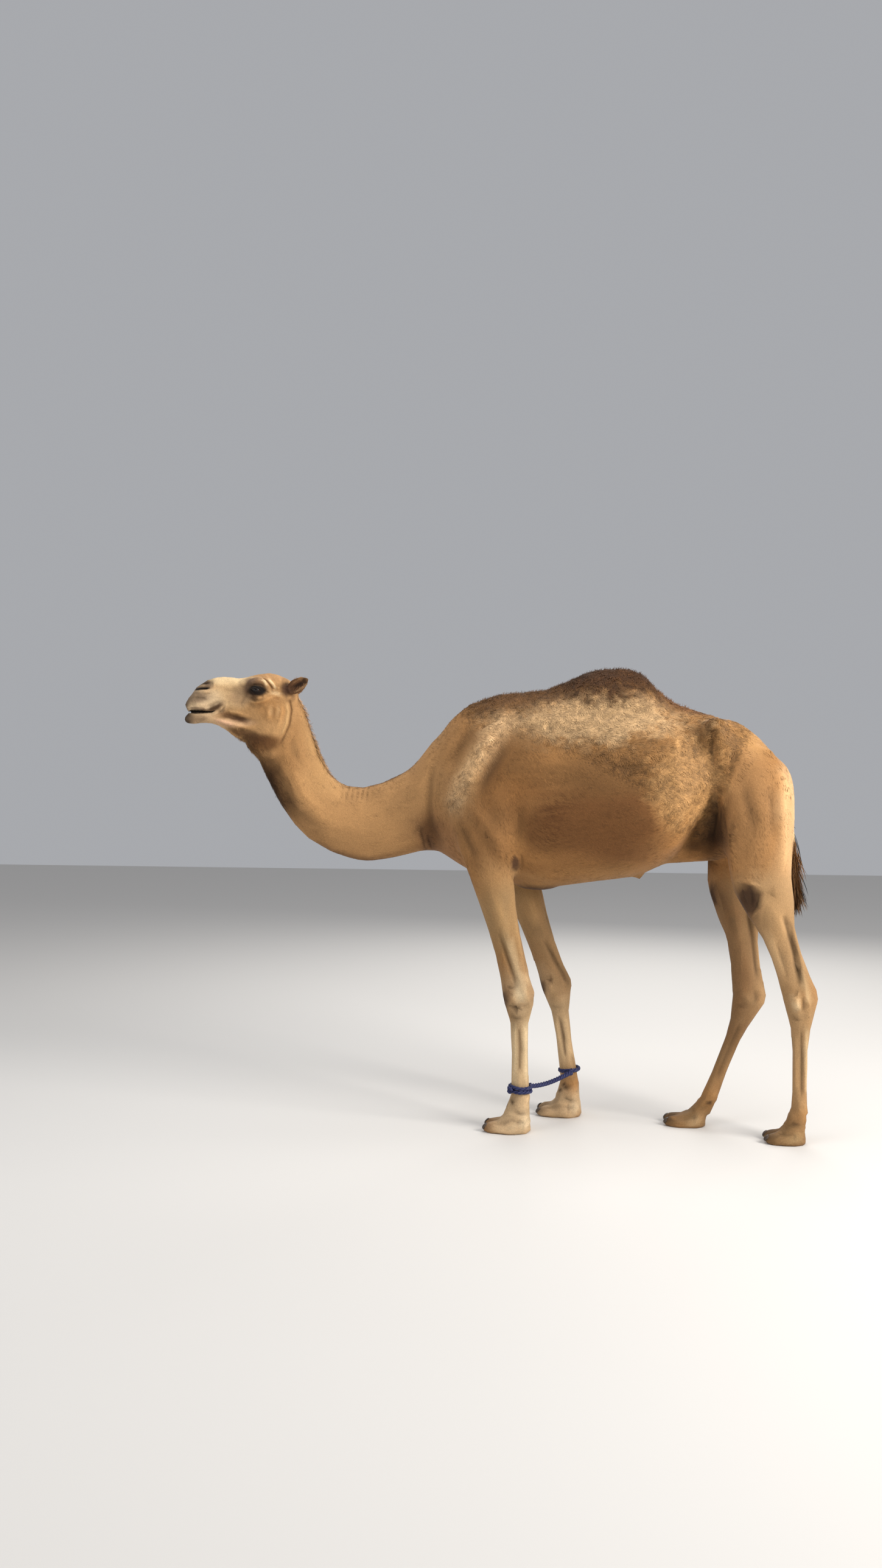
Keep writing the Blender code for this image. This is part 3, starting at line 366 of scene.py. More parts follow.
BODY_LINES = (
    ("ridge of the blade", 0, ((20, 1790), (-20, 1700), (-60, 1610), (-140, 1500), (-170, 1410)), 30, 13),
    ("hollow before the blade", 0, ((-70, 1800), (-130, 1680), (-200, 1560)), 26, -8),
    ("hollow behind the blade", 0, ((90, 1740), (30, 1610), (-40, 1490), (-60, 1380)), 26, -11),
    ("back of the upper arm", 0, ((130, 1420), (124, 1320), (112, 1220)), 22, -7),
    ("front of the upper arm", 0, ((-160, 1380), (-120, 1290), (-80, 1200), (-70, 1120)), 18, -8),
    ("upper arm", 0, ((-80, 1420), (-20, 1330), (30, 1250), (50, 1180)), 26, 9),
    ("elbow, front", 0, ((70, 1215), (64, 1165), (75, 1115)), 7, -5),
    ("elbow, back", 0, ((110, 1225), (128, 1190), (128, 1145), (112, 1100)), 8, -6),
    ("elbow", 0, ((98, 1190), (102, 1130)), 15, 6),
    ("shoulder fold", 0, ((-255, 1620), (-280, 1520), (-285, 1420), (-278, 1310), (-257, 1230)), 16, -9),
    ("first neck fold", 0, ((-335, 1320), (-325, 1250), (-318, 1190)), 9, -5),
    ("second neck fold", 0, ((-305, 1290), (-297, 1230), (-292, 1190)), 6, -5),
    ("front of the hip", 0, ((945, 1680), (952, 1610), (960, 1530)), 22, 6),
    ("hollow before the hip", 0, ((912, 1760), (918, 1690), (925, 1610), (932, 1530)), 13, -9),
    ("loin hollow", 0, ((840, 1700), (860, 1620), (880, 1560)), 32, -7),
    ("hollow behind the hip", 0, ((995, 1720), (1010, 1630), (1030, 1540)), 26, -6),
    ("front of the thigh", 0, ((950, 1520), (972, 1420), (992, 1320), (1010, 1210), (1030, 1110)), 15, 9),
    ("between ribs and thigh", 0, ((932, 1510), (934, 1420), (930, 1330), (920, 1240), (900, 1170)), 26, -20),
    ("edge of the belly", 0, ((915, 1520), (892, 1420), (842, 1320), (770, 1245), (690, 1190)), 17, 10),
    ("behind the belly", 0, ((905, 1380), (868, 1300), (810, 1230), (760, 1190)), 15, -10),
    ("hollow in the thigh", 0, ((1045, 1560), (1065, 1440), (1085, 1330), (1095, 1240)), 26, -9),
    ("hamstring hollow", 0, ((1155, 1520), (1165, 1380), (1165, 1240)), 17, -7),
    ("back of the thigh", 0, ((1205, 1500), (1212, 1360), (1212, 1220), (1208, 1100)), 14, 9),
    ("seat bone", 0, ((1205, 1520), (1222, 1470)), 22, 11),
    ("flank fold", 0, ((860, 1155), (920, 1165), (975, 1140)), 10, -6),
    ("stifle, upper rim", -1, ((1004, 1088), (1040, 1104), (1090, 1088), (1130, 1056)), 8, 11),
    ("stifle, front rim", -1, ((1006, 1080), (1010, 1035), (1036, 998), (1060, 968)), 7, 8),
    ("stifle, back rim", -1, ((1125, 1055), (1128, 1015), (1110, 975), (1085, 936)), 8, 6),
    ("stifle, first fold", -1, ((1045, 1075), (1050, 1030), (1072, 990)), 6, -6),
    ("stifle, second fold", -1, ((1078, 1072), (1085, 1025), (1088, 985)), 6, -6),
    ("stifle, third fold", -1, ((1105, 1055), (1108, 1015), (1096, 970)), 5, -5),
    ("stifle", 1, ((945, 1095), (930, 1040), (945, 985), (968, 945)), 8, -6),
    ("hamstring", -1, ((1195, 990), (1235, 900), (1262, 800), (1276, 720), (1290, 645)), 13, -17),
    ("gaskin", -1, ((1130, 930), (1170, 830), (1205, 730), (1228, 645)), 15, 6),
    ("gaskin muscle", -1, ((1165, 1020), (1205, 930), (1228, 860)), 22, 8),
    ("shin", -1, ((1180, 860), (1212, 760), (1236, 680)), 8, -5),
    ("hamstring", 1, ((1085, 980), (1105, 880), (1118, 790), (1128, 700), (1140, 620)), 12, -14),
    ("gaskin", 1, ((1020, 970), (1045, 870), (1055, 790)), 18, 7),
    ("hock, knob", -1, ((1262, 625), (1270, 590), (1276, 555)), 13, 8),
    ("hock, under the knob", -1, ((1242, 545), (1265, 520), (1290, 522)), 8, -6),
    ("hock, behind the knob", -1, ((1292, 625), (1298, 585), (1296, 545)), 7, -7),
    ("hock, heel", -1, ((1300, 640), (1318, 590), (1320, 530), (1316, 460)), 7, 5),
    ("hock, knob", 1, ((1065, 605), (1085, 570), (1090, 535)), 14, 7),
    ("hock, behind the knob", 1, ((1112, 610), (1125, 575), (1122, 535)), 8, -6),
    ("hock, folds", 1, ((1030, 545), (1060, 530), (1090, 528)), 6, -4),
    ("hind cannon groove", -1, ((1288, 500), (1291, 374), (1291, 268), (1293, 184)), 8, -7),
    ("hind tendon", -1, ((1307, 460), (1309, 330), (1310, 200)), 6, 4),
    ("hind cannon bone", -1, ((1266, 470), (1268, 330), (1268, 210)), 7, 4),
    ("hind cannon groove", 1, ((1065, 475), (1020, 370), (985, 285), (950, 195)), 8, -6),
    ("hind tendon", 1, ((1080, 455), (1040, 360), (1002, 270), (968, 190)), 6, 4),
    ("hind fetlock", -1, ((1296, 158), (1308, 118)), 14, 8),
    ("hind pastern", -1, ((1300, 100), (1262, 82), (1222, 66)), 8, -7),
    ("hind fetlock", 1, ((944, 160), (950, 115)), 13, 6),
    ("hind pastern", 1, ((935, 112), (905, 85), (870, 66)), 9, -5),
    ("forearm", -1, ((20, 900), (43, 820), (74, 730), (98, 660), (112, 590)), 12, -9),
    ("back of the forearm", -1, ((100, 930), (125, 800), (140, 700), (155, 610)), 12, 7),
    ("forearm muscle", -1, ((10, 1040), (45, 930), (70, 830)), 20, 6),
    ("forearm", 1, ((190, 820), (216, 757), (250, 690), (280, 641), (307, 567)), 10, -9),
    ("forearm muscle", 1, ((110, 1040), (150, 920), (180, 820)), 20, 6),
    ("knee, upper", -1, ((60, 635), (85, 622), (105, 628)), 6, -5),
    ("knee, bone", -1, ((88, 600), (92, 555)), 15, 7),
    ("knee, side", -1, ((135, 640), (150, 600), (150, 555)), 10, 6),
    ("knee, middle", -1, ((62, 552), (90, 545), (118, 550)), 5, -5),
    ("knee, lower", -1, ((75, 505), (105, 490), (135, 500)), 8, -6),
    ("knee, bone", 1, ((222, 600), (236, 555)), 15, 6),
    ("knee, side", 1, ((275, 635), (292, 600), (290, 560)), 10, 5),
    ("knee, lower", 1, ((222, 500), (250, 488), (280, 500)), 8, -5),
    ("fore cannon groove", -1, ((116, 470), (119, 370), (116, 240)), 7, -6),
    ("fore cannon bone", -1, ((96, 470), (98, 350), (96, 240)), 7, 4),
    ("fore tendon", -1, ((140, 480), (143, 350), (142, 230)), 7, 5),
    ("fore cannon groove", 1, ((264, 465), (284, 350), (296, 250)), 7, -5),
    ("fore cannon bone", 1, ((240, 460), (262, 350), (276, 250)), 7, 4),
    ("fore tendon", 1, ((290, 470), (309, 350), (320, 250)), 7, 4),
    ("over the fetlock", -1, ((168, 185), (145, 170), (125, 172)), 8, -5),
    ("fore fetlock", -1, ((146, 165), (157, 120)), 15, 9),
    ("fore fetlock", 1, ((340, 150), (343, 110)), 14, 7),
    ("heel fold", -1, ((80, 100), (115, 86), (160, 80)), 7, -8),
    ("second heel fold", -1, ((70, 66), (115, 52), (160, 46)), 6, -7),
    ("foot fold", -1, ((-10, 34), (40, 40), (80, 58), (110, 80)), 6, -6),
    ("pastern", -1, ((60, 100), (85, 130), (100, 165)), 9, -4),
    ("heel fold", 1, ((275, 92), (310, 78), (352, 66)), 7, -8),
    ("second heel fold", 1, ((280, 55), (315, 46), (352, 44)), 5, -5),
    ("foot fold", 1, ((190, 32), (240, 40), (280, 58)), 6, -6),
    ("pastern", 1, ((255, 100), (280, 130), (296, 165)), 9, -4),
    ("hind foot fold", -1, ((1165, 34), (1215, 42), (1270, 52)), 6, -7),
    ("hind foot fold", 1, ((770, 32), (830, 40), (885, 52)), 6, -7),
    ("throat groove", 0, ((-990, 1660), (-960, 1550), (-905, 1420), (-820, 1320), (-720, 1260)), 20, -6),
    ("neck muscle", 0, ((-930, 1700), (-895, 1570), (-845, 1460), (-760, 1360), (-660, 1330)), 26, 5),
    ("upper neck groove", 0, ((-915, 1780), (-890, 1660), (-855, 1560)), 12, -5),
    ("heel", -1, ((150, 60), (156, 25)), 14, 5),
    ("heel, inner fold", -1, ((118, 75), (112, 45), (118, 18)), 4, -4),
    ("heel, outer fold", -1, ((138, 45), (136, 15)), 4, -4),
    ("sole edge", -1, ((-20, 12), (60, 12), (155, 12)), 6, 3),
    ("toe", -1, ((-15, 50), (20, 58), (50, 75)), 9, 4),
    ("heel", 1, ((345, 60), (352, 25)), 14, 5),
    ("heel, inner fold", 1, ((312, 75), (306, 45), (312, 18)), 4, -4),
    ("heel, outer fold", 1, ((332, 45), (330, 15)), 4, -4),
    ("sole edge", 1, ((180, 12), (260, 12), (350, 12)), 6, 3),
    ("hind heel", -1, ((1288, 60), (1295, 25)), 13, 5),
    ("hind heel fold", -1, ((1262, 60), (1258, 18)), 4, -4),
    ("hind sole edge", -1, ((1160, 11), (1230, 11), (1300, 11)), 6, 3),
    ("hind heel", 1, ((888, 60), (896, 25)), 13, 5),
    ("hind heel fold", 1, ((862, 60), (858, 18)), 4, -4),
    ("hind sole edge", 1, ((750, 11), (830, 11), (900, 11)), 6, 3),
)
# Short pleats across the dip of the neck, each a finger's width from the next.
BODY_LINES += tuple(
    (f"pleat {step + 1} over the neck", 0, ((x, 1505), (x + 4, 1455), (x + 2, 1405)), 7, -3)
    for step, x in enumerate(range(-690, -570, 22))
)
HEAD_LINES = (
    ("behind the jaw", 0, ((-12, 1880), (-22, 1830), (-12, 1765), (12, 1710), (36, 1664)), 5, -5),
    ("neck side of the jaw", 0, ((2, 1870), (-4, 1820), (4, 1765), (28, 1710)), 5, 4),
    ("edge of the cheek", 0, ((20, 1870), (22, 1820), (34, 1770), (56, 1725)), 9, 6),
    ("cheek fold", 0, ((62, 1850), (58, 1810), (70, 1775)), 8, -4),
    ("cheek swell", 0, ((85, 1850), (80, 1805), (92, 1775)), 9, 4),
    ("flap at the mouth's corner", 0, ((366, 1818), (332, 1828), (305, 1840), (270, 1864)), 9, 7),
    ("over the flap", 0, ((356, 1838), (325, 1850), (292, 1868)), 5, -7),
    ("behind the flap", 0, ((268, 1864), (270, 1842), (284, 1824), (322, 1808)), 5, -7),
    ("lip behind the corner", 0, ((270, 1862), (268, 1842), (278, 1822)), 7, 5),
    ("jaw line", 0, ((310, 1806), (252, 1802), (200, 1788), (150, 1778), (110, 1772)), 11, -9),
    ("over the jaw line", 0, ((270, 1822), (215, 1815), (160, 1802)), 8, 5),
    ("lower jaw bone", 0, ((325, 1788), (270, 1772), (215, 1758), (160, 1750)), 9, 7),
    ("under the jaw", 0, ((235, 1745), (190, 1735), (140, 1728)), 8, -5),
    ("cheek bone", 0, ((180, 1868), (140, 1864), (100, 1868), (65, 1884), (40, 1900)), 8, 7),
    ("under the cheek bone", 0, ((185, 1846), (140, 1842), (95, 1846)), 11, -6),
    ("tear groove", 0, ((166, 1900), (184, 1882), (200, 1860), (210, 1838)), 7, -5),
    ("side of the nose", 0, ((200, 1915), (250, 1912), (300, 1915)), 14, -5),
    ("brow", 0, ((178, 1932), (158, 1946), (125, 1954), (102, 1950), (84, 1930), (76, 1914)), 8, 7),
    ("inner brow", 0, ((140, 1968), (115, 1966), (96, 1950), (82, 1926)), 5, 5),
    ("outer brow", 0, ((100, 1985), (83, 1968), (62, 1945), (43, 1914)), 7, 6),
    ("between the brows", 0, ((118, 1980), (90, 1960), (71, 1936), (58, 1912)), 4, -7),
    ("third brow", 0, ((60, 1990), (35, 1972), (20, 1940)), 7, 4),
    ("under the brow", 0, ((172, 1926), (142, 1937), (112, 1935), (92, 1920)), 4, -7),
    ("bag under the eye", 0, ((168, 1886), (140, 1876), (108, 1880), (88, 1896)), 5, 5),
    ("under the bag", 0, ((170, 1874), (138, 1864), (100, 1871)), 4, -5),
    ("outer corner of the eye", 0, ((108, 1912), (90, 1908), (74, 1900)), 3, -4),
    ("temple", 0, ((60, 1915), (38, 1925)), 14, -6),
    ("nostril", 0, ((420, 1916), (400, 1916), (375, 1919), (350, 1921), (328, 1925)), 4, -12),
    ("nostril hood", 0, ((412, 1926), (390, 1931), (360, 1933), (334, 1938)), 5, 7),
    ("fold over the nostril", 0, ((405, 1938), (380, 1944), (352, 1945), (328, 1950)), 4, -8),
    ("outer nostril fold", 0, ((385, 1958), (355, 1958), (325, 1962)), 6, 5),
    ("behind the nostril", 0, ((322, 1958), (316, 1938), (322, 1918)), 6, 5),
    ("nostril wing", 0, ((400, 1903), (375, 1906), (350, 1908), (326, 1912)), 8, 2),
    ("under the wing", 0, ((370, 1894), (345, 1896), (325, 1900)), 4, -4),
    ("hanging edge of the upper lip", 0, ((446, 1862), (442, 1842), (430, 1826)), 7, 7),
    ("upper lip fold", 0, ((430, 1872), (400, 1878), (365, 1876), (335, 1866)), 6, -5),
    ("upper lip", 0, ((415, 1846), (380, 1852), (340, 1850)), 14, 5),
    ("lip edge", 0, ((430, 1829), (380, 1831), (335, 1833)), 4, 3),
    ("lower lip", 0, ((425, 1800), (385, 1802), (345, 1806)), 7, 4),
    ("lower lip fold", 0, ((410, 1783), (375, 1782), (340, 1786)), 5, -4),
)
SWELLINGS = (
    ("flank hollow", (895, 200, 1640), (110, 120, 120), -8),
    ("paunch", (640, 300, 1360), (300, 140, 220), 10),
    ("thigh", (1120, 230, 1350), (120, 100, 200), 8),
    ("shoulder point", (-175, 170, 1430), (70, 90, 90), 10),
    ("breast muscle", (-180, 80, 1290), (90, 80, 90), 8),
)
# The line between the lips, and half the height of the opening along it.
MOUTH_LINE = ((470, 1812), (440, 1814), (420, 1820), (370, 1820), (330, 1819), (316, 1824))
MOUTH_OPEN = ((316, 1.5), (340, 3.5), (370, 6.5), (400, 8.0), (416, 6.5), (428, 3.0), (470, 1.5))


def mouth_share(place):
    """1 in the opening between the lips, which runs right round the front of the head."""
    ahead, half_height = np.array(MOUTH_OPEN).T
    away = from_line(place[:, [0, 2]], MOUTH_LINE) / (np.interp(place[:, 0], ahead / 1000, half_height) * MM)
    return np.exp(-(away**4)) * smooth_step(place[:, 0], 0.306, 0.320)


def toe_cleft(points):
    """1 along the furrow that parts the two toes of each foot, from the sole's front edge up over them."""
    share = np.zeros(len(points))
    for foot in FEET:
        low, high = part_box(foot)
        x, y, z = (points - np.array(low)).T
        across = (y - (high[1] - low[1]) / 2) / (5 * MM)
        furrow = ((x > -0.01) & (np.abs(across) < 4)) * np.exp(-(across**2))
        share += furrow * (1 - smooth_step(x, 0.035, 0.085)) * smooth_step(z, 0.004, 0.02)
    return share


MOUTH_DEPTH, LIP_DEPTH = 17 * MM, 6 * MM  # of the mouth inside, and at its very front
TOE_DEPTH, LIP_CLEFT_DEPTH = 8 * MM, 6 * MM
# Layers of fine relief: size of the patches, height and seed.
WOOL_CLUMPS = ((26, 3.4, 41), (13, 1.8, 42))  # curled wool stands in clumps about a thumb wide
FACE_GRAIN = ((16, 0.9, 21), (7, 0.5, 22))
LOOSE_SKIN = ((30, 1.0, 43), (13, 0.5, 44))


def grain(points, layers):
    """Height of a few layers of smooth noise."""
    return sum(height * MM * cloud(points, size / 1000, seed) for size, height, seed in layers)


def relief(points, normals):
    """Height of the sculpted detail at each point, in metres."""
    place, head = head_places(points), on_head(points) > 0.02
    low = points[:, 2]
    total = (1 - head) * drawn_relief(points[:, [0, 2]], points[:, 1], normals[:, 1], BODY_LINES)
    total += head * drawn_relief(place[:, [0, 2]], place[:, 1], normals @ np.array(OUTWARD), HEAD_LINES)
    depth = MOUTH_DEPTH + (LIP_DEPTH - MOUTH_DEPTH) * smooth_step(place[:, 0], 0.420, 0.440)
    total -= depth * mouth_share(place) * head
    total -= TOE_DEPTH * toe_cleft(points)
    total += wool_share(points) * grain(points, WOOL_CLUMPS)
    # Loose skin lies in small folds over the feet, and in faint ones over knees and hocks.
    loose = 1 - smooth_step(low, 0.10, 0.19)
    joint = np.exp(-(((low - 0.57) / 0.07) ** 2))
    lying = points * (1, 1, 1.8)  # folds are wider than they are high
    total += (1.9 * loose + 1.3 * joint) * grain(lying, LOOSE_SKIN)
    # The upper lip is cleft in the middle, up to the nostrils.
    cleft = np.exp(-((place[:, 1] / (4 * MM)) ** 2)) * smooth_step(place[:, 0], 0.405, 0.425)
    cleft *= smooth_step(place[:, 2], 1.826, 1.840) * (1 - smooth_step(place[:, 2], 1.890, 1.905))
    total -= LIP_CLEFT_DEPTH * cleft
    total += head * grain(points, FACE_GRAIN)
    return total


def swell_out(points, normals):
    """Raises and sinks the broad soft forms on both flanks."""
    for _, (x, y, z), radii, height in SWELLINGS:
        for side in (-1, 1):
            share = near(points, (x, side * y, z), radii)
            points += normals * (height * MM * share)[:, None]


def eye_frame(side):
    """The eye's middle, with its own forward, outward and upward directions."""
    centre = EYE_RIGHT if side > 0 else EYE_LEFT
    outward = (OUTWARD * side * 0.95 + AHEAD * 0.28 + Vector((0, 0, 0.06))).normalized()
    upward = (Vector((0, 0, 1)) - outward * outward.z).normalized()
    forward = upward.cross(outward)
    if forward.dot(AHEAD) < 0:
        forward = -forward
    return np.array(centre), np.array(forward), np.array(outward), np.array(upward)


LID_HALF_LENGTH = 20.0 * MM
LID_TOP = 9.5 * MM
LID_BOTTOM = 7.0 * MM
LID_THICKNESS = 2.2 * MM


def lid_opening(along):
    """Height of the upper and the lower lid over the middle of the eye, at a distance along it."""
    share = np.clip(1 - (along / LID_HALF_LENGTH) ** 2, 0, 1)
    lean = 0.15 * along  # the front corner lies a little higher
    return LID_TOP * share**0.7 + lean, -LID_BOTTOM * share**0.8 + lean


def shape_lids(points):
    """Draws the skin round each eyeball as two lids, and sinks it behind the ball between them."""
    for side in (-1, 1):
        centre, forward, outward, upward = eye_frame(side)
        away = points - centre
        along, out, up = away @ forward, away @ outward, away @ upward
        distance = np.linalg.norm(away, axis=1)
        ball = (distance < EYE_RADIUS + 16 * MM) & (out > 2 * MM)
        top, bottom = lid_opening(along)
        inside = np.minimum(top - up, up - bottom)
        inside = np.where(np.abs(along) < LID_HALF_LENGTH, inside, -1)
        rim = EYE_RADIUS + LID_THICKNESS + 1.2 * MM * np.exp(-(((inside + 1.8 * MM) / (1.6 * MM)) ** 2))
        blend = 1 - smooth_step(np.hypot(along / 1.15, up), 15 * MM, 27 * MM)
        radius = distance + (rim - distance) * blend
        sunk = EYE_RADIUS - 4 * MM * smooth_step(inside, -0.2 * MM, 1.3 * MM)
        sunk = sunk + LID_THICKNESS * (1 - smooth_step(inside, 0, 1.3 * MM))
        radius = np.where(inside > 0, np.minimum(radius, sunk), radius)
        scale = np.where(ball, radius / np.maximum(distance, 1e-6), 1)
        points[:] = centre + away * scale[:, None]


def refine(skin, chosen):
    """Divides the faces whose corners are all chosen."""
    choose(skin)
    data = skin.data
    data.polygons.foreach_set("select", np.zeros(len(data.polygons), bool))
    data.edges.foreach_set("select", np.zeros(len(data.edges), bool))
    data.vertices.foreach_set("select", chosen)
    edges = np.empty(len(data.edges) * 2, np.int32)
    data.edges.foreach_get("vertices", edges)
    data.edges.foreach_set("select", chosen[edges.reshape(-1, 2)].all(1))
    bpy.ops.object.mode_set(mode="EDIT")
    bpy.ops.mesh.select_mode(type="EDGE")
    bpy.ops.mesh.subdivide(number_cuts=1)
    bpy.ops.object.mode_set(mode="OBJECT")


def make_skin():
    """The skin with its form, folds and lids, divided where the detail is fine and then thinned."""
    skin = skin_form()
    even_out(skin)
    points = points_of(skin)
    set_points(skin, points - normals_of(skin) * coat_depth(points)[:, None])
    refine(skin, on_head(points_of(skin)) > 0.5)
    place = head_places(points_of(skin))
    eyes = np.abs(place[:, 0] - EYE_AHEAD) < 36 * MM
    eyes &= (np.abs(place[:, 2] - EYE_LEFT.z) < 34 * MM) & (np.abs(place[:, 1]) > 45 * MM)
    refine(skin, eyes)
    place = head_places(points_of(skin))
    refine(skin, (from_line(place[:, [0, 2]], MOUTH_LINE) < 16 * MM) & (place[:, 0] > 0.29))
    relax(skin, 0.8 * on_head(points_of(skin)), 3)
    points, normals = points_of(skin), normals_of(skin)
    swell_out(points, normals)
    points += normals * relief(points, normals)[:, None]
    shape_lids(points)
    points[:, 2] = np.maximum(points[:, 2], 0.3 * MM)
    set_points(skin, points)
    modify(
        skin,
        "DECIMATE",
        ratio=SKIN_TRIANGLES / (2 * len(skin.data.polygons)),
        vertex_group=group(skin, "thin", 1 - 0.92 * on_head(points)),
        vertex_group_factor=0.02,
        use_collapse_triangulate=True,
    )
    skin.vertex_groups.clear()
    round_off(skin)
    return skin


# ---------------------------------------------------------------- floor, light and camera

# Name, place, aim, size in metres, power in watts and colour of each lamp.
LAMPS = (
    ("key", (4.9, -2.2, 3.4), (0.1, 0, 1.2), 2.4, 350, (1, 0.965, 0.92)),
    ("fill", (-4.5, -4.5, 3.2), (-0.2, 0, 1.2), 4.0, 75, (0.95, 0.97, 1)),
    ("back", (1.0, 5.0, 4.2), (0, 0, 1.2), 4.0, 140, (1, 0.98, 0.95)),
    ("top", (0, -0.5, 5.5), (0, 0, 1.0), 4.0, 120, (1, 1, 1)),
)
PAPER = (0.68, 0.66, 0.63, 1)
SKY = (0.93, 0.95, 1.0, 1)
SKY_STRENGTH = 0.42
CAMERA_PLACE = (0.664, -5.22, 1.5)
CAMERA_TURN = 10  # degrees to the left of straight at the camel's side
CAMERA_LENS = 27.04  # mm, on a frame 36 mm high
FLOOR_SIZE = 30


def make_studio():
    bpy.context.scene.view_settings.view_transform = "Standard"
    bpy.ops.mesh.primitive_plane_add(size=1)
    floor = bpy.context.object
    floor.name = "floor"
    floor.scale = (FLOOR_SIZE, FLOOR_SIZE, 1)
    settle(floor)
    material = bpy.data.materials.new("matt paper")
    material.use_nodes = True
    shader = material.node_tree.nodes["Principled BSDF"]
    shader.inputs["Base Color"].default_value = PAPER
    shader.inputs["Roughness"].default_value = 0.9
    floor.data.materials.append(material)
    world = bpy.data.worlds.new("studio")
    bpy.context.scene.world = world
    world.use_nodes = True
    world.node_tree.nodes["Background"].inputs[0].default_value = SKY
    world.node_tree.nodes["Background"].inputs[1].default_value = SKY_STRENGTH
    for name, place, aim, size, power, colour in LAMPS:
        light = bpy.data.lights.new(name, "AREA")
        light.energy = power
        light.size = size
        light.color = colour
        lamp = bpy.data.objects.new(name, light)
        bpy.context.scene.collection.objects.link(lamp)
        lamp.location = place
        lamp.rotation_euler = (Vector(aim) - Vector(place)).to_track_quat("-Z", "Y").to_euler()
    camera = bpy.data.cameras.new("camera")
    camera.sensor_fit = "VERTICAL"
    camera.sensor_height = 36
    camera.lens = CAMERA_LENS
    eye = bpy.data.objects.new("camera", camera)
    bpy.context.scene.collection.objects.link(eye)
    eye.location = CAMERA_PLACE
    eye.rotation_euler = (math.radians(90), 0, math.radians(CAMERA_TURN))
    bpy.context.scene.camera = eye


# ---------------------------------------------------------------- colours

def linear(code):
    """An sRGB hex colour as linear light."""
    value = np.array([int(code[place:place + 2], 16) for place in (1, 3, 5)]) / 255
    return np.where(value <= 0.04045, value / 12.92, ((value + 0.055) / 1.055) ** 2.4)


# Large primes and a large factor turn a cell's place into a number that looks like chance.
SHUFFLE = (7349, 15731, 78907)
SHUFFLE_RANGE = 99991
SHUFFLE_SPREAD = 43758.5453


def cloud(points, size, seed=0):
    """Smooth noise between -1 and 1, in patches of about that size."""
    place = points / size + 37.3 * (seed + 1)
    cell = np.floor(place).astype(np.int64)
    share = place - cell
    share = share * share * (3 - 2 * share)
    total = np.zeros(len(points))
    for corner in np.ndindex(2, 2, 2):
        key = (cell + corner) @ np.array(SHUFFLE)
        value = np.sin(key % SHUFFLE_RANGE) * SHUFFLE_SPREAD % 1
        total += value * np.prod(np.where(corner, share, 1 - share), axis=1)
    return 2 * total - 1


# Name, colour, middle, half sizes and strength of each soft patch. Later rows lie over earlier ones.
BODY_PATCHES = (
    ("neck", "#B28656", (-600, 0, 1450), (600, 500, 600), 1.0),
    ("nape", "#BE935F", (-760, 0, 1700), (160, 300, 300), 0.7),
    ("breast", "#80583A", (-240, 0, 1260), (160, 260, 200), 0.6),
    ("before the shoulder", "#5E3D20", (-285, 200, 1270), (60, 300, 130), 0.75),
    ("shoulder", "#83592F", (20, 300, 1560), (240, 400, 320), 0.8),
    ("shoulder ridge", "#A87D4C", (-100, 300, 1560), (70, 400, 170), 0.6),
    ("upper arm", "#86603A", (-20, 300, 1280), (160, 300, 200), 0.6),
    ("under the elbow", "#B0885A", (20, 300, 1100), (100, 300, 100), 0.5),
    ("behind the elbow", "#513115", (235, 300, 1310), (100, 220, 150), 0.8),
    # Partly real darker hair, partly painted shade over the lower ribs.
    ("lower ribs", "#6F4725", (460, 350, 1350), (400, 400, 260), 0.85),
    ("flank", "#AC7D49", (820, 350, 1440), (150, 350, 240), 0.7),
    ("belly", "#9C7445", (500, 0, 1120), (450, 220, 120), 0.6),
    # Painted shade in the hollow between belly and thigh.
    ("between belly and thigh", "#442A14", (920, 250, 1250), (85, 300, 220), 0.7),
    ("rump", "#BC8E58", (1120, 150, 1760), (220, 300, 160), 0.8),
    ("thigh", "#A87D50", (1080, 260, 1380), (180, 200, 340), 0.6),
    ("back of the thigh", "#D2A878", (1270, 150, 1360), (100, 220, 400), 0.85),
    ("between the thighs", "#D4B083", (1200, 0, 1300), (140, 80, 360), 0.7),
    ("gaskin", "#B28E63", (1140, 150, 920), (300, 300, 260), 0.85),
    ("hind cannons", "#B08C62", (1120, 150, 450), (360, 300, 400), 0.95),
    # Partly real brown, partly painted shade on the far, right hind leg.
    ("right hind leg", "#7E5B39", (1000, 120, 620), (170, 120, 560), 0.85),
    ("hind feet", "#80623F", (1050, 150, 30), (400, 300, 110), 0.85),
    ("forearms", "#A48257", (130, 150, 920), (280, 300, 200), 0.85),
    # Partly real colour, partly painted shade on the far, right foreleg.
    ("right foreleg", "#94744F", (250, 160, 620), (180, 120, 420), 0.8),
    ("fore knees", "#B0906A", (140, 220, 580), (220, 300, 130), 0.8),
    ("fore cannons", "#CDAF86", (170, 220, 320), (240, 300, 240), 0.95),
    ("fore feet", "#C9AB84", (180, 220, 60), (260, 300, 120), 0.9),
)
WOOL_PATCHES = (
    ("upper ribs", "#CBA678", (420, 250, 1800), (500, 400, 150), 0.9),
    ("below the pale wool", "#7A5630", (450, 300, 1540), (280, 300, 120), 0.75),
    ("woolly flank", "#BC8F5B", (830, 300, 1500), (180, 350, 260), 0.85),
    ("back", "#67421F", (360, 0, 1960), (660, 200, 150), 0.7),
    ("behind the blade", "#7A5630", (120, 300, 1660), (120, 300, 120), 0.6),
    ("hump", "#4E2F11", (470, 0, 2000), (440, 320, 150), 0.95),
    ("withers", "#6C4824", (50, 0, 1900), (300, 240, 130), 0.85),
    ("behind the hump", "#6B4220", (860, 0, 1850), (220, 140, 90), 0.85),
)
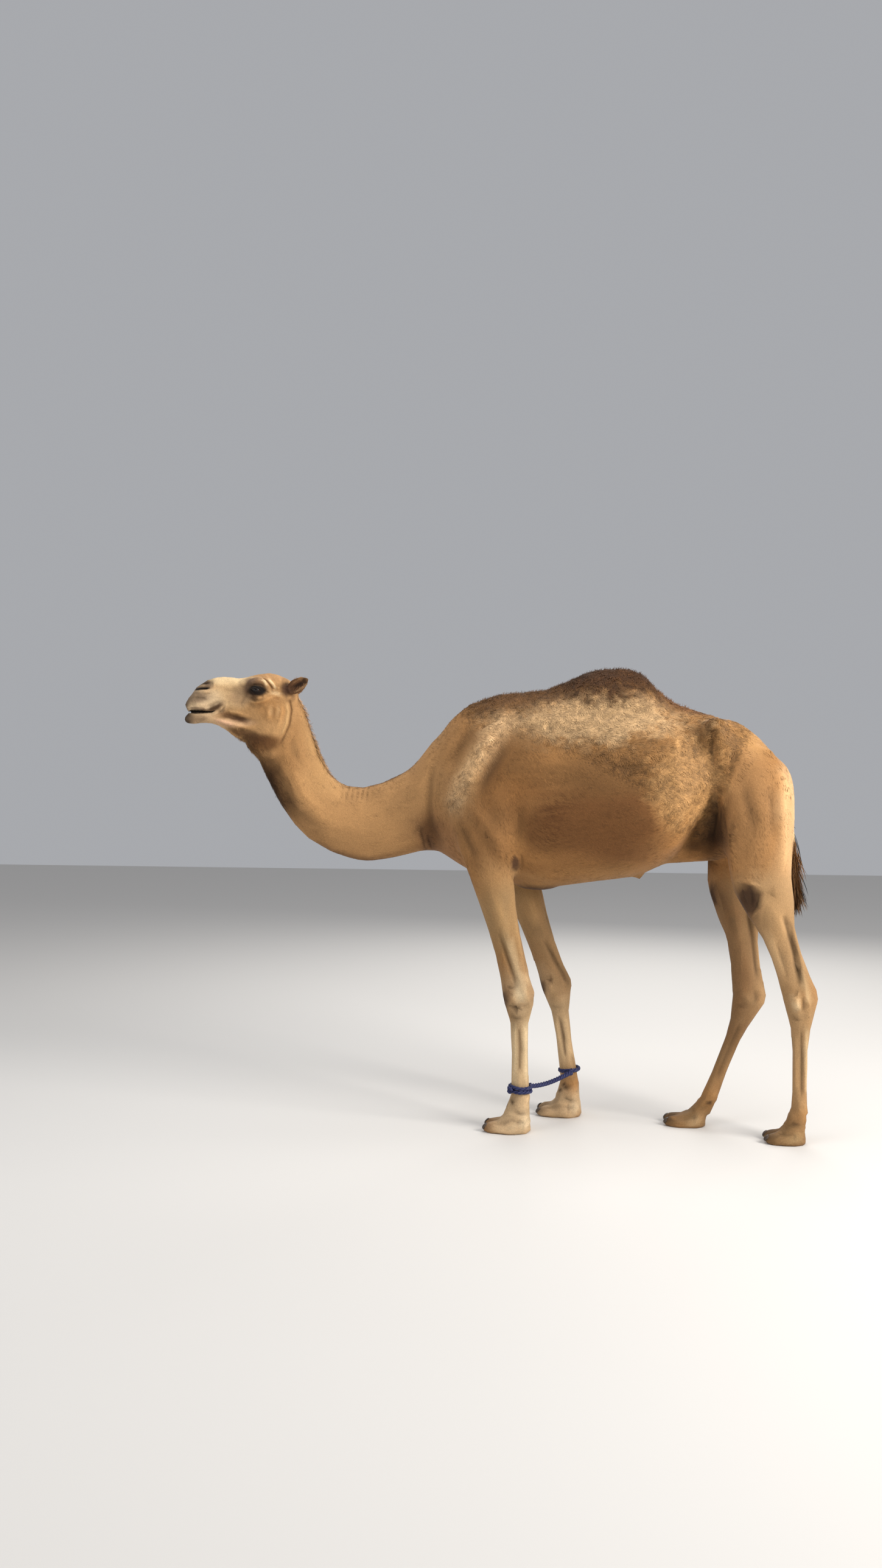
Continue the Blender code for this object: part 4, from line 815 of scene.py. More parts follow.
HEAD_PATCHES = (
    ("head", "#B68B5B", (100, 0, 1880), (400, 300, 400), 1.0),
    ("forehead", "#B08558", (90, 0, 1980), (120, 100, 60), 0.8),
    ("cheek", "#A97B4A", (70, 90, 1830), (100, 60, 70), 0.7),
    ("bridge of the nose", "#E2C496", (270, 0, 1960), (150, 100, 45), 0.95),
    ("middle of the face", "#CDAA7C", (250, 60, 1890), (120, 80, 80), 0.85),
    ("shade before the eye", "#98795A", (205, 70, 1888), (70, 60, 62), 0.6),
    ("muzzle", "#DABE98", (370, 0, 1860), (130, 100, 90), 0.9),
    ("chin", "#CDAB82", (350, 0, 1770), (140, 80, 50), 0.9),
    ("lower jaw", "#D0A880", (230, 0, 1772), (120, 100, 26), 0.75),
    ("nose", "#66513E", (385, 0, 1942), (90, 150, 36), 0.95),
    ("front of the lip", "#4A392A", (458, 0, 1872), (45, 150, 62), 0.95),
    ("side of the lip", "#7E674F", (398, 0, 1880), (78, 150, 36), 0.85),
    ("lower lip", "#302118", (450, 0, 1790), (56, 150, 40), 0.95),
    ("side of the lower lip", "#8D7459", (385, 0, 1790), (60, 150, 22), 0.7),
    ("eye patch", "#5A4130", (155, 80, 1925), (72, 50, 48), 0.85),
    # Partly the dark lids, partly the painted shadow of lashes and brow round the eye.
    ("lids", "#160D07", (129, 80, 1911), (48, 40, 23.5), 1.0),
    # Painted shade where the ear meets the head.
    ("root of the ear", "#4A2C16", (4, 75, 1925), (30, 60, 45), 0.7),
    ("throat latch", "#5E3A1A", (80, 30, 1680), (120, 90, 50), 0.9),
    ("ear", "#5C3D26", (-40, 75, 1930), (62, 50, 55), 0.95),
    # Painted shade in the hollow of the ear.
    ("inside the ear", "#2A190E", (-45, 105, 1935), (26, 30, 22), 0.9),
    ("ear tip", "#3A2414", (-82, 105, 1960), (22, 30, 22), 0.8),
)
# Narrow markings: name, side (left -1, right 1, both 0), colour, line, width and strength.
BODY_STRIPES = (
    # Both throat stripes: partly the dark hair of the throat, partly painted shade under the neck.
    ("throat", 0, "#42280F", THROAT_LINE[:5], 92, 0.95),
    ("under the neck", 0, "#6A4828", THROAT_LINE[4:], 45, 0.75),
    ("crest", 0, "#855A32", NAPE_LINE, 20, 0.7),
    # The next three are painted shade, darker in the hollows between ribs and thigh, behind the belly and
    # before the hip.
    ("between ribs and thigh", 0, "#2E1B0C", ((945, 1500), (955, 1380), (962, 1270), (965, 1180)), 36, 0.9),
    ("behind the belly", 0, "#3C2411", ((930, 1330), (880, 1250), (800, 1190)), 26, 0.8),
    ("before the hip", 0, "#5C3D1F", ((912, 1760), (918, 1690), (926, 1610), (935, 1540)), 15, 0.8),
    ("shoulder ridge", 0, "#BC9562", ((-10, 1720), (-60, 1610), (-140, 1500), (-170, 1410)), 35, 0.6),
    ("behind the shoulder", 0, "#704A25", ((60, 1660), (0, 1550), (-50, 1440)), 40, 0.6),
    # Both neck-root stripes are painted shade in the two folds at the root of the neck.
    ("neck root, first", 0, "#4A2F17", ((-335, 1340), (-325, 1250), (-318, 1170)), 8, 0.6),
    ("neck root, second", 0, "#4A2F17", ((-305, 1300), (-297, 1230), (-292, 1190)), 14, 0.7),
    ("back of the thigh", 0, "#DDB88A", ((1262, 1480), (1268, 1300), (1262, 1120)), 14, 0.6),
    ("shin", -1, "#D8BC92", ((62, 860), (100, 730), (128, 630)), 14, 0.6),
    # Painted light on the left foreleg: the pale knee, cannon-bone and tendon stripes are painted highlights,
    # and the dark front of the knee and cannon groove are painted shade.
    ("knee", -1, "#E2CBA4", ((130, 660), (120, 600), (135, 540)), 20, 0.7),
    ("knee, front", -1, "#6A4A2E", ((62, 640), (68, 600), (72, 550)), 10, 0.6),
    ("cannon, front", -1, "#DCC39A", ((94, 480), (96, 350), (94, 220)), 8, 0.7),
    ("cannon, groove", -1, "#8A6B49", ((116, 470), (119, 370), (116, 240)), 6, 0.7),
    ("tendon", -1, "#E0C8A0", ((142, 480), (144, 350), (142, 220)), 7, 0.7),
    ("heel", -1, "#DCC6A2", ((155, 90), (150, 50), (110, 20)), 20, 0.6),
    ("toes", -1, "#70543A", ((-40, 30), (-10, 45)), 20, 0.7),
    ("toes", 1, "#5E442C", ((165, 30), (195, 45)), 22, 0.7),
    # Painted shade in the right fore cannon groove.
    ("cannon, groove", 1, "#6E5238", ((264, 465), (284, 350), (296, 250)), 6, 0.7),
    ("knee, back", 1, "#5A4027", ((292, 640), (302, 590)), 12, 0.7),
    ("heel", 1, "#CDB694", ((350, 90), (345, 50), (310, 20)), 22, 0.6),
    # Painted light on the left hind leg: the pale gaskin, heel string, hock and tendon stripes are painted
    # highlights, and the dark hamstring and cannon grooves are painted shade.
    ("gaskin", -1, "#C9A67A", ((1130, 920), (1175, 800), (1215, 680)), 20, 0.5),
    ("hamstring", -1, "#6F4F2E", ((1240, 890), (1264, 790), (1278, 710), (1290, 640)), 10, 0.6),
    ("heel string", -1, "#D3B386", ((1290, 740), (1306, 650), (1325, 580)), 9, 0.6),
    ("hock", -1, "#DCC096", ((1262, 610), (1272, 580), (1268, 550)), 12, 0.7),
    ("hind tendon", -1, "#D3B68C", ((1310, 500), (1312, 350), (1312, 220)), 6, 0.7),
    ("hind groove", -1, "#7A5A38", ((1288, 470), (1291, 370), (1291, 270), (1293, 190)), 5, 0.7),
    ("hind toes", -1, "#3E2B1A", ((1135, 30), (1165, 45)), 20, 0.8),
    ("hind toes", 1, "#2E2014", ((735, 30), (765, 45)), 22, 0.8),
    ("hind heel", 1, "#BFA076", ((890, 70), (870, 30), (810, 20)), 16, 0.6),
    ("hind heel", -1, "#A98C62", ((1290, 70), (1270, 30), (1210, 20)), 16, 0.6),
    ("gaskin", 1, "#5C3F24", ((1000, 980), (1040, 880), (1050, 800)), 22, 0.6),
    ("hamstring", 1, "#C6A070", ((1150, 840), (1150, 760), (1140, 680)), 10, 0.5),
)
HEAD_STRIPES = (
    # Painted shade under the cheek, along the jaw line's groove.
    ("jaw line", 0, "#55331A", ((312, 1804), (284, 1808), (252, 1802), (200, 1787), (150, 1777)), 12.5, 0.9),
    ("lower jaw", 0, "#D6A987", ((328, 1788), (270, 1772), (220, 1760)), 9, 0.7),
    # Partly dark hair, partly painted shade under the jaw.
    ("jaw, under", 0, "#4E3117", ((300, 1752), (240, 1733), (180, 1722), (110, 1700), (60, 1680)), 20, 0.85),
    # Painted shade in the groove behind the jaw.
    ("jaw, behind", 0, "#5E3B1C", ((-12, 1885), (-22, 1830), (-12, 1765), (12, 1710), (36, 1664)), 4.5, 0.5),
    ("before that fold", 0, "#D6AE78", ((2, 1870), (-6, 1820), (2, 1765), (26, 1712)), 7, 0.4),
    # Painted shade where the ear meets the head.
    ("before the ear", 0, "#40281A", ((8, 1955), (0, 1920), (-12, 1885)), 16, 0.85),
    ("brow shade", 0, "#6B5340", ((190, 1945), (165, 1958), (130, 1950)), 15, 0.7),
    # Painted light on the brow: the pale stripes on its two ridges are painted highlights, and the dark one
    # between them is painted shade.
    ("inner brow ridge", 0, "#E4C598", ((115, 1965), (97, 1950), (83, 1926)), 5.5, 0.9),
    ("outer brow ridge", 0, "#E8CA9C", ((86, 1970), (63, 1945), (45, 1916)), 5.5, 0.9),
    ("between the brows", 0, "#8A6440", ((105, 1972), (78, 1946), (61, 1918)), 3.5, 0.7),
    ("cheek bone", 0, "#DDB98A", ((83, 1906), (42, 1901), (17, 1892)), 8, 0.7),
    ("under the cheek bone", 0, "#8E6238", ((70, 1878), (45, 1881), (20, 1876)), 6, 0.6),
    ("first cheek streak", 0, "#D6AE7C", ((75, 1858), (70, 1825), (78, 1790)), 8, 0.3),
    ("second cheek streak", 0, "#D6AE7C", ((40, 1862), (36, 1825), (45, 1785)), 8, 0.3),
    ("mouth's corner flap", 0, "#4E3824", ((372, 1816), (334, 1827), (302, 1842), (262, 1870)), 11, 1.0),
    ("rim behind the corner", 0, "#E6C79C", ((320, 1809), (286, 1822), (279, 1842)), 4.5, 0.8),
    ("lid, upper", 0, "#120A06", ((172, 1926), (140, 1926), (112, 1919), (88, 1907)), 7.5, 1.0),
    ("lid, lower", 0, "#120A06", ((170, 1918), (150, 1902), (122, 1897), (95, 1904)), 7.5, 1.0),
    ("under the eye", 0, "#38220F", ((165, 1895), (140, 1878), (118, 1884)), 14, 0.85),
    # Painted shade in the nostril's slit and in the fold over it.
    ("nostril", 0, "#170E08", ((420, 1916), (400, 1916), (375, 1919), (350, 1921), (330, 1925)), 4.5, 1.0),
    ("nostril fold", 0, "#4E3A28", ((405, 1938), (380, 1944), (352, 1945), (328, 1950)), 5.5, 0.8),
    ("nostril hood", 0, "#A58C6C", ((405, 1928), (380, 1932), (350, 1935)), 4, 0.7),
    # Painted shade in the hollow of the ear.
    ("inside the ear", 0, "#24150C", ((-16, 1918), (-50, 1938), (-86, 1960)), 10, 0.95),
    ("upper edge of the ear", 0, "#8D6A48", ((-20, 1945), (-50, 1962), (-82, 1972)), 4, 0.7),
    ("lower edge of the ear", 0, "#A07C56", ((-30, 1905), (-62, 1922), (-90, 1948)), 4, 0.7),
    ("lip edge", 0, "#5C4432", ((430, 1834), (400, 1834), (370, 1831), (345, 1827)), 5, 0.7),
)
# Bare pads on which the camel kneels: name, middle, half sizes and side (left -1, right 1, both 0).
CALLUSES = (
    ("chest pad", (180, 0, 1030), (120, 100, 50), 0),
    ("elbow", (100, 220, 1158), (24, 150, 44), 0),
    ("knee", (48, 150, 568), (26, 100, 50), -1),
    ("knee", (180, 160, 568), (28, 100, 50), 1),
    ("stifle", (1066, 220, 1015), (64, 250, 90), -1),
    ("stifle", (955, 220, 1010), (45, 250, 70), 1),
)
# Places where no hair stands, in the head's own line: name, middle and half sizes.
BARE = (
    ("lids", (135, 80, 1914), (26, 40, 16)),
    ("nostril", (372, 55, 1917), (40, 30, 9)),
    ("lips", (400, 0, 1818.5), (130, 100, 10)),
    ("inside the ear", (-30, 100, 1925), (30, 20, 20)),
)
# Small dark scars and warts on the legs: side, place in the side view and radius.
WARTS = (
    (-1, 84, 128, 10),
    (-1, 133, 236, 6),
    (-1, 137, 201, 7),
    (-1, 113, 545, 9),
    (-1, 60, 112, 6),
    (1, 332, 260, 8),
    (1, 291, 134, 11),
    (1, 267, 118, 7),
    (1, 226, 610, 7),
    (-1, 1286, 120, 12),
    (-1, 1262, 90, 10),
    (1, 925, 110, 10),
)


def to_left(points):
    """The same places with both flanks folded onto one, so that one row serves for both."""
    return points * (1, 0, 1) + np.abs(points) * (0, 1, 0)


def patch_share(place, centre, radii, wobble):
    """1 inside a patch and 0 outside, with an uneven edge."""
    away = np.linalg.norm((to_left(place) - metres(centre)) / metres(radii), axis=1) + wobble
    return 1 - smooth_step(away, 0.5, 1.15)


def callus_share(points):
    """1 on the bare pads on which the camel kneels, 0 elsewhere."""
    wobble = 0.15 * cloud(points, 0.012)
    share = np.zeros(len(points))
    for _, centre, radii, side in CALLUSES:
        here = patch_share(points, centre, radii, wobble) * (points[:, 1] * side >= 0)
        share = np.maximum(share, here)
    return share


def wart_share(points):
    """1 on the scars and warts of the legs."""
    wobble = 0.35 * cloud(points, 0.007)
    share = np.zeros(len(points))
    for side, *row in WARTS:
        x, z, radius = metres(row)
        away = np.hypot(points[:, 0] - x, points[:, 2] - z) / radius + wobble
        share = np.maximum(share, (1 - smooth_step(away, 0.6, 1.2)) * (points[:, 1] * side > 0))
    return share


def stripe_share(points, line, width):
    """1 on a drawn line, falling softly to 0 beside it and at its ends."""
    beside = 1 - smooth_step(from_line(points, line) / width, 0.3, 1.7)
    return beside * end_fade(points, line, 4 * width.mean())


def all_over(code, count):
    """One colour for each of a number of points."""
    return np.tile(linear(code), (count, 1))


def lay_over(colour, code, share):
    """Brings each point's colour towards another by its share."""
    colour += (linear(code) - colour) * share[:, None]


def lay_patches(colour, place, rows, wobble):
    for _, code, centre, radii, strength in rows:
        lay_over(colour, code, strength * patch_share(place, centre, radii, wobble))


def lay_stripes(colour, place, rows, ragged, shares):
    """Lays narrow markings, each limited to its own side by the shares for left, both and right."""
    for _, side, code, line, width, strength in rows:
        seen = place if len(line[0]) == 3 else place[:, [0, 2]]
        lay_over(colour, code, strength * stripe_share(seen, line, metres(width) * ragged) * shares[side])


def pigment(points):
    """Linear colour of the coat at each point, the same for the skin and for the hair that grows there."""
    wobble = 0.16 * cloud(points, 0.11) + 0.08 * cloud(points, 0.035, 1)
    ragged = 1 + 0.35 * cloud(points, 0.02, 11)
    curls = cloud(points, 0.020, 13)
    colour = all_over("#A07242", len(points))
    lay_patches(colour, points, BODY_PATCHES, wobble)
    lay_stripes(colour, points, BODY_STRIPES, ragged, {side: points[:, 1] * side >= 0 for side in (-1, 0, 1)})
    lay_over(colour, "#93693B", 0.75 * wool_share(points))
    lay_patches(colour, points, WOOL_PATCHES, wobble + 0.22 * curls + 0.10 * cloud(points, 0.010, 14))
    lay_over(colour, "#D0A97B", 0.8 * ridge_share(points) * (1 + 0.5 * curls))
    face = all_over("#B68B5B", len(points))
    place = head_places(points)
    lay_patches(face, place, HEAD_PATCHES, 0.7 * wobble)
    lay_stripes(face, place, HEAD_STRIPES, ragged, {0: smooth_step(np.abs(place[:, 1]), 0.012, 0.030)})
    # Painted shade: the opening between the lips is painted near black.
    lay_over(face, "#150B07", mouth_share(place) ** 0.5)
    colour += (face - colour) * on_head(points)[:, None]
    dusty = on_legs(points) * (0.5 + 0.5 * cloud(points * (1, 1, 0.5), 0.030, 12)) ** 2
    lay_over(colour, "#8E7350", 0.55 * dusty)
    lay_over(colour, "#40291A", 0.92 * callus_share(points))
    lay_over(colour, "#3A2616", 0.85 * wart_share(points))
    colour *= (1 + 0.10 * cloud(points, 0.060, 2) + 0.07 * cloud(points, 0.018, 3))[:, None]
    return np.clip(colour, 0.002, 1)


def paint(piece, colours):
    """Stores one linear colour for each point of a piece, which its material reads as "pigment"."""
    made = piece.data.color_attributes.new(name="pigment", type="FLOAT_COLOR", domain="POINT")
    opaque = np.column_stack([colours, np.ones(len(colours))])
    made.data.foreach_set("color", opaque.astype(np.float32).ravel())


# ---------------------------------------------------------------- materials

def add(tree, kind, inputs=(), **settings):
    """Adds a node, sets it, and joins or sets its inputs."""
    made = tree.nodes.new("ShaderNode" + kind)
    for key, value in settings.items():
        setattr(made, key, value)
    for socket, value in inputs:
        if isinstance(value, bpy.types.NodeSocket):
            tree.links.new(value, made.inputs[socket])
        else:
            made.inputs[socket].default_value = value
    return made


def finish_material(name, roughness, ior, **constants):
    """A new material with its shader set to plain values."""
    material = bpy.data.materials.new(name)
    material.use_nodes = True
    tree = material.node_tree
    shader = tree.nodes["Principled BSDF"]
    shader.inputs["Roughness"].default_value = roughness
    shader.inputs["IOR"].default_value = ior
    for key, value in constants.items():
        shader.inputs[key.replace("_", " ")].default_value = value
    return material, tree, shader


def pigment_material(name, roughness, ior, **constants):
    """A plain finish that takes its colour from the points."""
    material, tree, shader = finish_material(name, roughness, ior, **constants)
    pigments = add(tree, "Attribute", attribute_name="pigment").outputs["Color"]
    tree.links.new(pigments, shader.inputs["Base Color"])
    return material


def per_metre(size):
    """The scale of a noise whose patches are about that size."""
    return 1 / size


def coat_material(name, roughness, sheen, bumps):
    """Keratin hair: pigment from the coat's own map, broken up hair by hair. Bumps are pairs of a size and a
    height, in metres, that stand for hair too fine to model."""
    material, tree, shader = finish_material(
        name, roughness, 1.55, Sheen_Weight=sheen, Sheen_Roughness=0.45, Specular_IOR_Level=0.2
    )
    place = add(tree, "TexCoord").outputs["Object"]
    pigments = add(tree, "Attribute", attribute_name="pigment").outputs["Color"]
    hairs = add(tree, "TexNoise", (("Vector", place), ("Scale", per_metre(4 * MM)), ("Detail", 2.0)))
    limits = (("From Min", 0.3), ("From Max", 0.7), ("To Min", 0.86), ("To Max", 1.12))
    range_of = add(tree, "MapRange", (("Value", hairs.outputs[0]), *limits))
    mixed = add(tree, "VectorMath", ((0, pigments), (1, range_of.outputs[0])), operation="MULTIPLY")
    tree.links.new(mixed.outputs[0], shader.inputs["Base Color"])
    normal = None
    for size, height in bumps:
        grain = add(tree, "TexNoise", (("Vector", place), ("Scale", per_metre(size)), ("Detail", 3.0)))
        bump = add(tree, "Bump", (("Height", grain.outputs[0]), ("Distance", height), ("Strength", 1.0)))
        if normal:
            tree.links.new(normal, bump.inputs["Normal"])
        normal = bump.outputs[0]
    if normal:
        tree.links.new(normal, shader.inputs["Normal"])
    return material


# ---------------------------------------------------------------- coat

# Places on the left side and the way the hair lies there: back along the head, down the neck, back and down
# over the barrel, and down the legs.
LIE = (
    ((-1260, 50, 1840), (0.9, 0.1, 0.1)),
    ((-1100, 50, 1930), (1, 0.1, 0.15)),
    ((-1000, 100, 1860), (0.8, 0.1, -0.4)),
    ((-900, 100, 1950), (1, 0, -0.1)),
    ((-920, 100, 1750), (0.4, 0, -1)),
    ((-820, 100, 1760), (0.3, 0, -1)),
    ((-830, 100, 1500), (0.6, 0, -1)),
    ((-720, 100, 1340), (1, 0, -0.7)),
    ((-550, 100, 1300), (1, 0, -0.2)),
    ((-350, 120, 1550), (0.9, 0, -0.5)),
    ((-300, 120, 1250), (0.7, 0, -0.7)),
    ((-100, 200, 1700), (0.7, 0, -0.8)),
    ((0, 220, 1400), (0.3, 0, -1)),
    ((100, 150, 1850), (0.8, 0.3, -0.5)),
    ((450, 100, 2000), (0.5, 0.6, -0.6)),
    ((400, 280, 1650), (0.8, 0, -0.6)),
    ((400, 300, 1300), (0.9, 0, -0.45)),
    ((450, 100, 1080), (1, 0.3, 0)),
    ((800, 250, 1700), (0.9, 0, -0.35)),
    ((840, 280, 1440), (0.7, 0, 0.6)),
    ((900, 250, 1580), (0.5, 0, 0.9)),
    ((860, 200, 1220), (0.9, 0, 0.3)),
    ((1000, 250, 1740), (0.9, 0, -0.5)),
    ((1050, 270, 1450), (0.3, 0, -1)),
    ((1220, 150, 1600), (0.4, 0, -1)),
    ((1250, 150, 1250), (0, -0.2, -1)),
    ((1050, 250, 1080), (0.2, 0, -1)),
    ((1200, 200, 800), (0.3, 0, -1)),
    ((1180, 200, 350), (0.05, 0, -1)),
    ((1100, 200, 40), (-0.6, 0, -0.6)),
    ((50, 200, 1050), (0.2, 0, -1)),
    ((120, 200, 550), (0.05, 0, -1)),
    ((150, 200, 200), (0.05, 0, -1)),
    ((120, 200, 30), (-0.5, 0, -0.5)),
)
WHORL = (860, 1500)  # seen from the side, the hair of the flank turns round here
WHORL_SIZE = 0.13


def turned(way, normals, angle):
    """A direction along the surface, turned round the normal."""
    return way * np.cos(angle)[:, None] + np.cross(normals, way) * np.sin(angle)[:, None]


def lie(points, normals):
    """The way the hair lies at each point, along the surface."""
    folded = to_left(points)
    way = np.zeros_like(points)
    for place, direction in LIE:
        weight = 1 / (((folded - metres(place)) ** 2).sum(1) + 0.0016) ** 2
        way += weight[:, None] * np.array(direction) / np.linalg.norm(direction)
    way[:, 1] *= np.sign(points[:, 1])
    way -= normals * (way * normals).sum(1)[:, None]
    way = unit(way, TINY)
    away = np.linalg.norm(points[:, [0, 2]] - metres(WHORL), axis=1)
    turn = 1.9 * np.exp(-((away / WHORL_SIZE) ** 2)) * np.sign(points[:, 1])
    turn += 0.45 * cloud(points, 0.14, 4) * (1 - on_legs(points)) + 0.22 * cloud(points, 0.03, 5)
    return turned(way, normals, turn)


def relief_light_and_shade(skin):
    """Painted light and shade from the sculpted relief: the coat is lighter on ridges, a painted highlight
    that also stands for wear, and darker in folds, painted shade.
    """
    points = points_of(skin)
    height = relief(points, normals_of(skin)) * (42 + 12 * on_legs(points))
    return 1 + np.clip(height, -0.55, 0.24)[:, None]


class Roots:
    """Places on the skin where hair can grow, with the skin's unwrap at each of them."""

    def __init__(self, skin):
        data = skin.data
        data.calc_loop_triangles()
        count = len(data.loop_triangles)
        corners = np.empty(count * 3, np.int32)
        loops = np.empty(count * 3, np.int32)
        data.loop_triangles.foreach_get("vertices", corners)
        data.loop_triangles.foreach_get("loops", loops)
        unwrap = np.empty(len(data.loops) * 2, np.float32)
        data.uv_layers["OFBake"].data.foreach_get("uv", unwrap)
        corners = corners.reshape(-1, 3)
        self.places = points_of(skin)[corners]
        self.normals = normals_of(skin)[corners]
        self.unwrap = unwrap.reshape(-1, 2)[loops.reshape(-1, 3)].astype(float)
        edges = self.places[:, 1:] - self.places[:, :1]
        # The painted light and shade of the relief at each corner: lighter on ridges, darker in folds.
        self.relief_shading = relief_light_and_shade(skin)[corners]
        self.areas = np.linalg.norm(np.cross(edges[:, 0], edges[:, 1]), axis=1) / 2
        self.middles = self.places.mean(1)

    def scatter(self, share, count, seed):
        """Roots spread evenly over the area where share is 1, thinning out where it falls to 0."""
        chance = np.random.default_rng(seed)
        weight = np.cumsum(self.areas * share)
        drawn = (np.arange(count) + chance.random(count)) / count * weight[-1]
        faces = np.minimum(np.searchsorted(weight, drawn), len(weight) - 1)
        first, second = chance.random((2, count, 1))
        fold = first + second > 1
        first, second = np.where(fold, 1 - first, first), np.where(fold, 1 - second, second)

        def blend(values):
            start, left, right = (values[faces, corner] for corner in range(3))
            return start * (1 - first - second) + left * first + right * second

        return blend(self.places), unit(blend(self.normals), TINY), blend(self.unwrap), blend(self.relief_shading)


def unwrap_near(roots, points):
    """The skin's unwrap at the place nearest to each point."""
    grid = KDTree(len(roots.middles))
    for index, place in enumerate(roots.middles):
        grid.insert(place, index)
    grid.balance()
    return roots.unwrap[[grid.find(point)[1] for point in points]].mean(1)


PATCH = 0.003  # side of each tuft's own patch on the unwrap
# The corners of a lock's section: how far each lies beside and above its middle, and across its patch.
SECTION = ((-0.5, 0.0), (0.5, 0.0), (0.0, 1.0))
SECTION_ACROSS = (0.0, 1.0, 0.5)
SECTION_LEAN = (-0.3, 0.3, 0.0)


def lock_faces(rings):
    """Triangles of one lock: its closed root, its three walls and its point."""
    walls = ((0, 1), (1, 2), (2, 0))
    triangles = [(0, 2, 1)]
    for ring in range(0, rings * 3 - 3, 3):
        for first, second in walls:
            low, high = ring + first, ring + second
            triangles += [(low, high, high + 3), (low, high + 3, low + 3)]
    tip = rings * 3
    triangles += [(tip - 3 + first, tip - 3 + second, tip) for first, second in walls]
    return np.array(triangles)


def each_corner(vectors):
    """One vector for each corner of every ring, and one for the tip, from one for each ring and the tip."""
    return np.concatenate([np.repeat(vectors[:, :-1], 3, axis=1), vectors[:, -1:]], axis=1)


def locks(name, roots, way, length, width, lift, curl, rings, colours, seed, fade, flat=0.28, sink=1.0):
    """Tapered three-sided locks of hair, each closed at its root and pointed at its tip. Length, width, lift
    and curl are one number for each lock, and curl is the angle, in radians, through which it turns. Fade is
    how much darker the root is, and sink how deep it stands in the skin, in millimetres."""
    places, normals, unwrap = roots
    count = len(places)
    chance = np.random.default_rng(seed)
    turn = chance.normal(0, 0.16, count) - curl * 0.5
    along = np.linspace(0, 1, rings + 1)
    middle_line = np.zeros((count, rings + 1, 3))
    middle_line[:, 0] = places - normals * sink * MM
    for step in range(1, rings + 1):
        rise = lift * (1 - 0.9 * along[step])
        heading = unit(turned(way, normals, turn + curl * along[step]) + normals * rise[:, None])
        middle_line[:, step] = middle_line[:, step - 1] + heading * (length / rings)[:, None]
    run = unit(np.gradient(middle_line, axis=1), TINY)
    side = unit(np.cross(normals[:, None], run), TINY)
    above = np.cross(run, side)
    profile = (0.75 + 0.5 * np.sin(along[:-1] * 2.4)) * (1 - 0.35 * along[:-1] ** 2)
    points = np.empty((count, rings * 3 + 1, 3))
    for corner, (out, up) in enumerate(SECTION):
        offset = side[:, :-1] * out + above[:, :-1] * up * flat
        points[:, corner:-1:3] = middle_line[:, :-1] + offset * (width[:, None] * profile)[..., None]
    points[:, -1] = middle_line[:, -1]
    every = (lock_faces(rings)[None] + (np.arange(count) * (rings * 3 + 1))[:, None, None]).reshape(-1, 3)
    piece = from_arrays(name, points.reshape(-1, 3), every)
    # Each lock is lit nearly as the skin under it, as soft hair is, and not as a hard blade.
    soft = normals[:, None] * 0.72 + each_corner(above) * 0.2
    soft += np.append(np.tile(SECTION_LEAN, rings), 0.0)[None, :, None] * each_corner(side)
    piece.data.normals_split_custom_set_from_vertices(unit(soft).reshape(-1, 3).astype(np.float32))
    share = np.append(np.repeat(along[:-1], 3), 1.0)
    tone = (1 - fade + fade * share)[None] * chance.uniform(0.84, 1.14, count)[:, None]
    paint(piece, (np.clip(colours[:, None] * tone[..., None], 0, 1)).reshape(-1, 3))
    across = np.append(np.tile(SECTION_ACROSS, rings), 0.5)
    patch = unwrap[:, None] + np.stack([across * PATCH, share * PATCH], axis=1)[None] - PATCH / 2
    layer = piece.data.uv_layers.new(name="OFBake")
    layer.data.foreach_set("uv", patch.reshape(-1, 2)[every.ravel()].astype(np.float32).ravel())
    return piece


def put_on(piece, material):
    """Gives a piece its material and its place in the model."""
    piece.data.materials.append(material)
    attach(piece, "root")


def bare_share(points):
    """1 where no hair stands: calluses, soles, nostrils, lips and the rims of the lids."""
    place = head_places(points)
    bare = callus_share(points)
    for _, centre, radii in BARE:
        bare = np.maximum(bare, patch_share(place, centre, radii, 0))
    return np.maximum(bare, 1 - smooth_step(points[:, 2], 0.006, 0.02))


def coat_regions(points):
    """The share of each kind of hair at each point."""
    head, legs, wool = on_head(points), on_legs(points), wool_share(points)
    neck = (1 - smooth_step(points[:, 0], -0.40, -0.22)) * (1 - head)
    rest = 1 - bare_share(points)
    trunk = (1 - legs) * (1 - wool) * (1 - neck) * (1 - head)
    foot = 1 - smooth_step(points[:, 2], 0.10, 0.16)
    return {
        "wool": wool * rest,
        "body": trunk * rest,
        "neck": neck * rest,
        "legs": legs * rest * (1 - 0.4 * foot),
        "head": head * rest,
    }


# Region, slot, number of pieces and of locks, rings, length, width, lift, curl, and how dark the roots are.
COAT = (
    ("wool", "hump_wool", 4, 60000, 2, 15, 3.4, 0.42, 1.7, 0.34),
    ("body", "body_coat", 2, 24000, 2, 22, 2.1, 0.10, 0.35, 0.08),
    ("neck", "body_coat", 2, 15000, 2, 16, 1.6, 0.09, 0.3, 0.06),
    ("legs", "leg_coat", 1, 8000, 2, 11, 1.6, 0.12, 0.2, 0.08),
    ("head", "head_coat", 1, 12000, 2, 7, 1.0, 0.12, 0.2, 0.06),
)


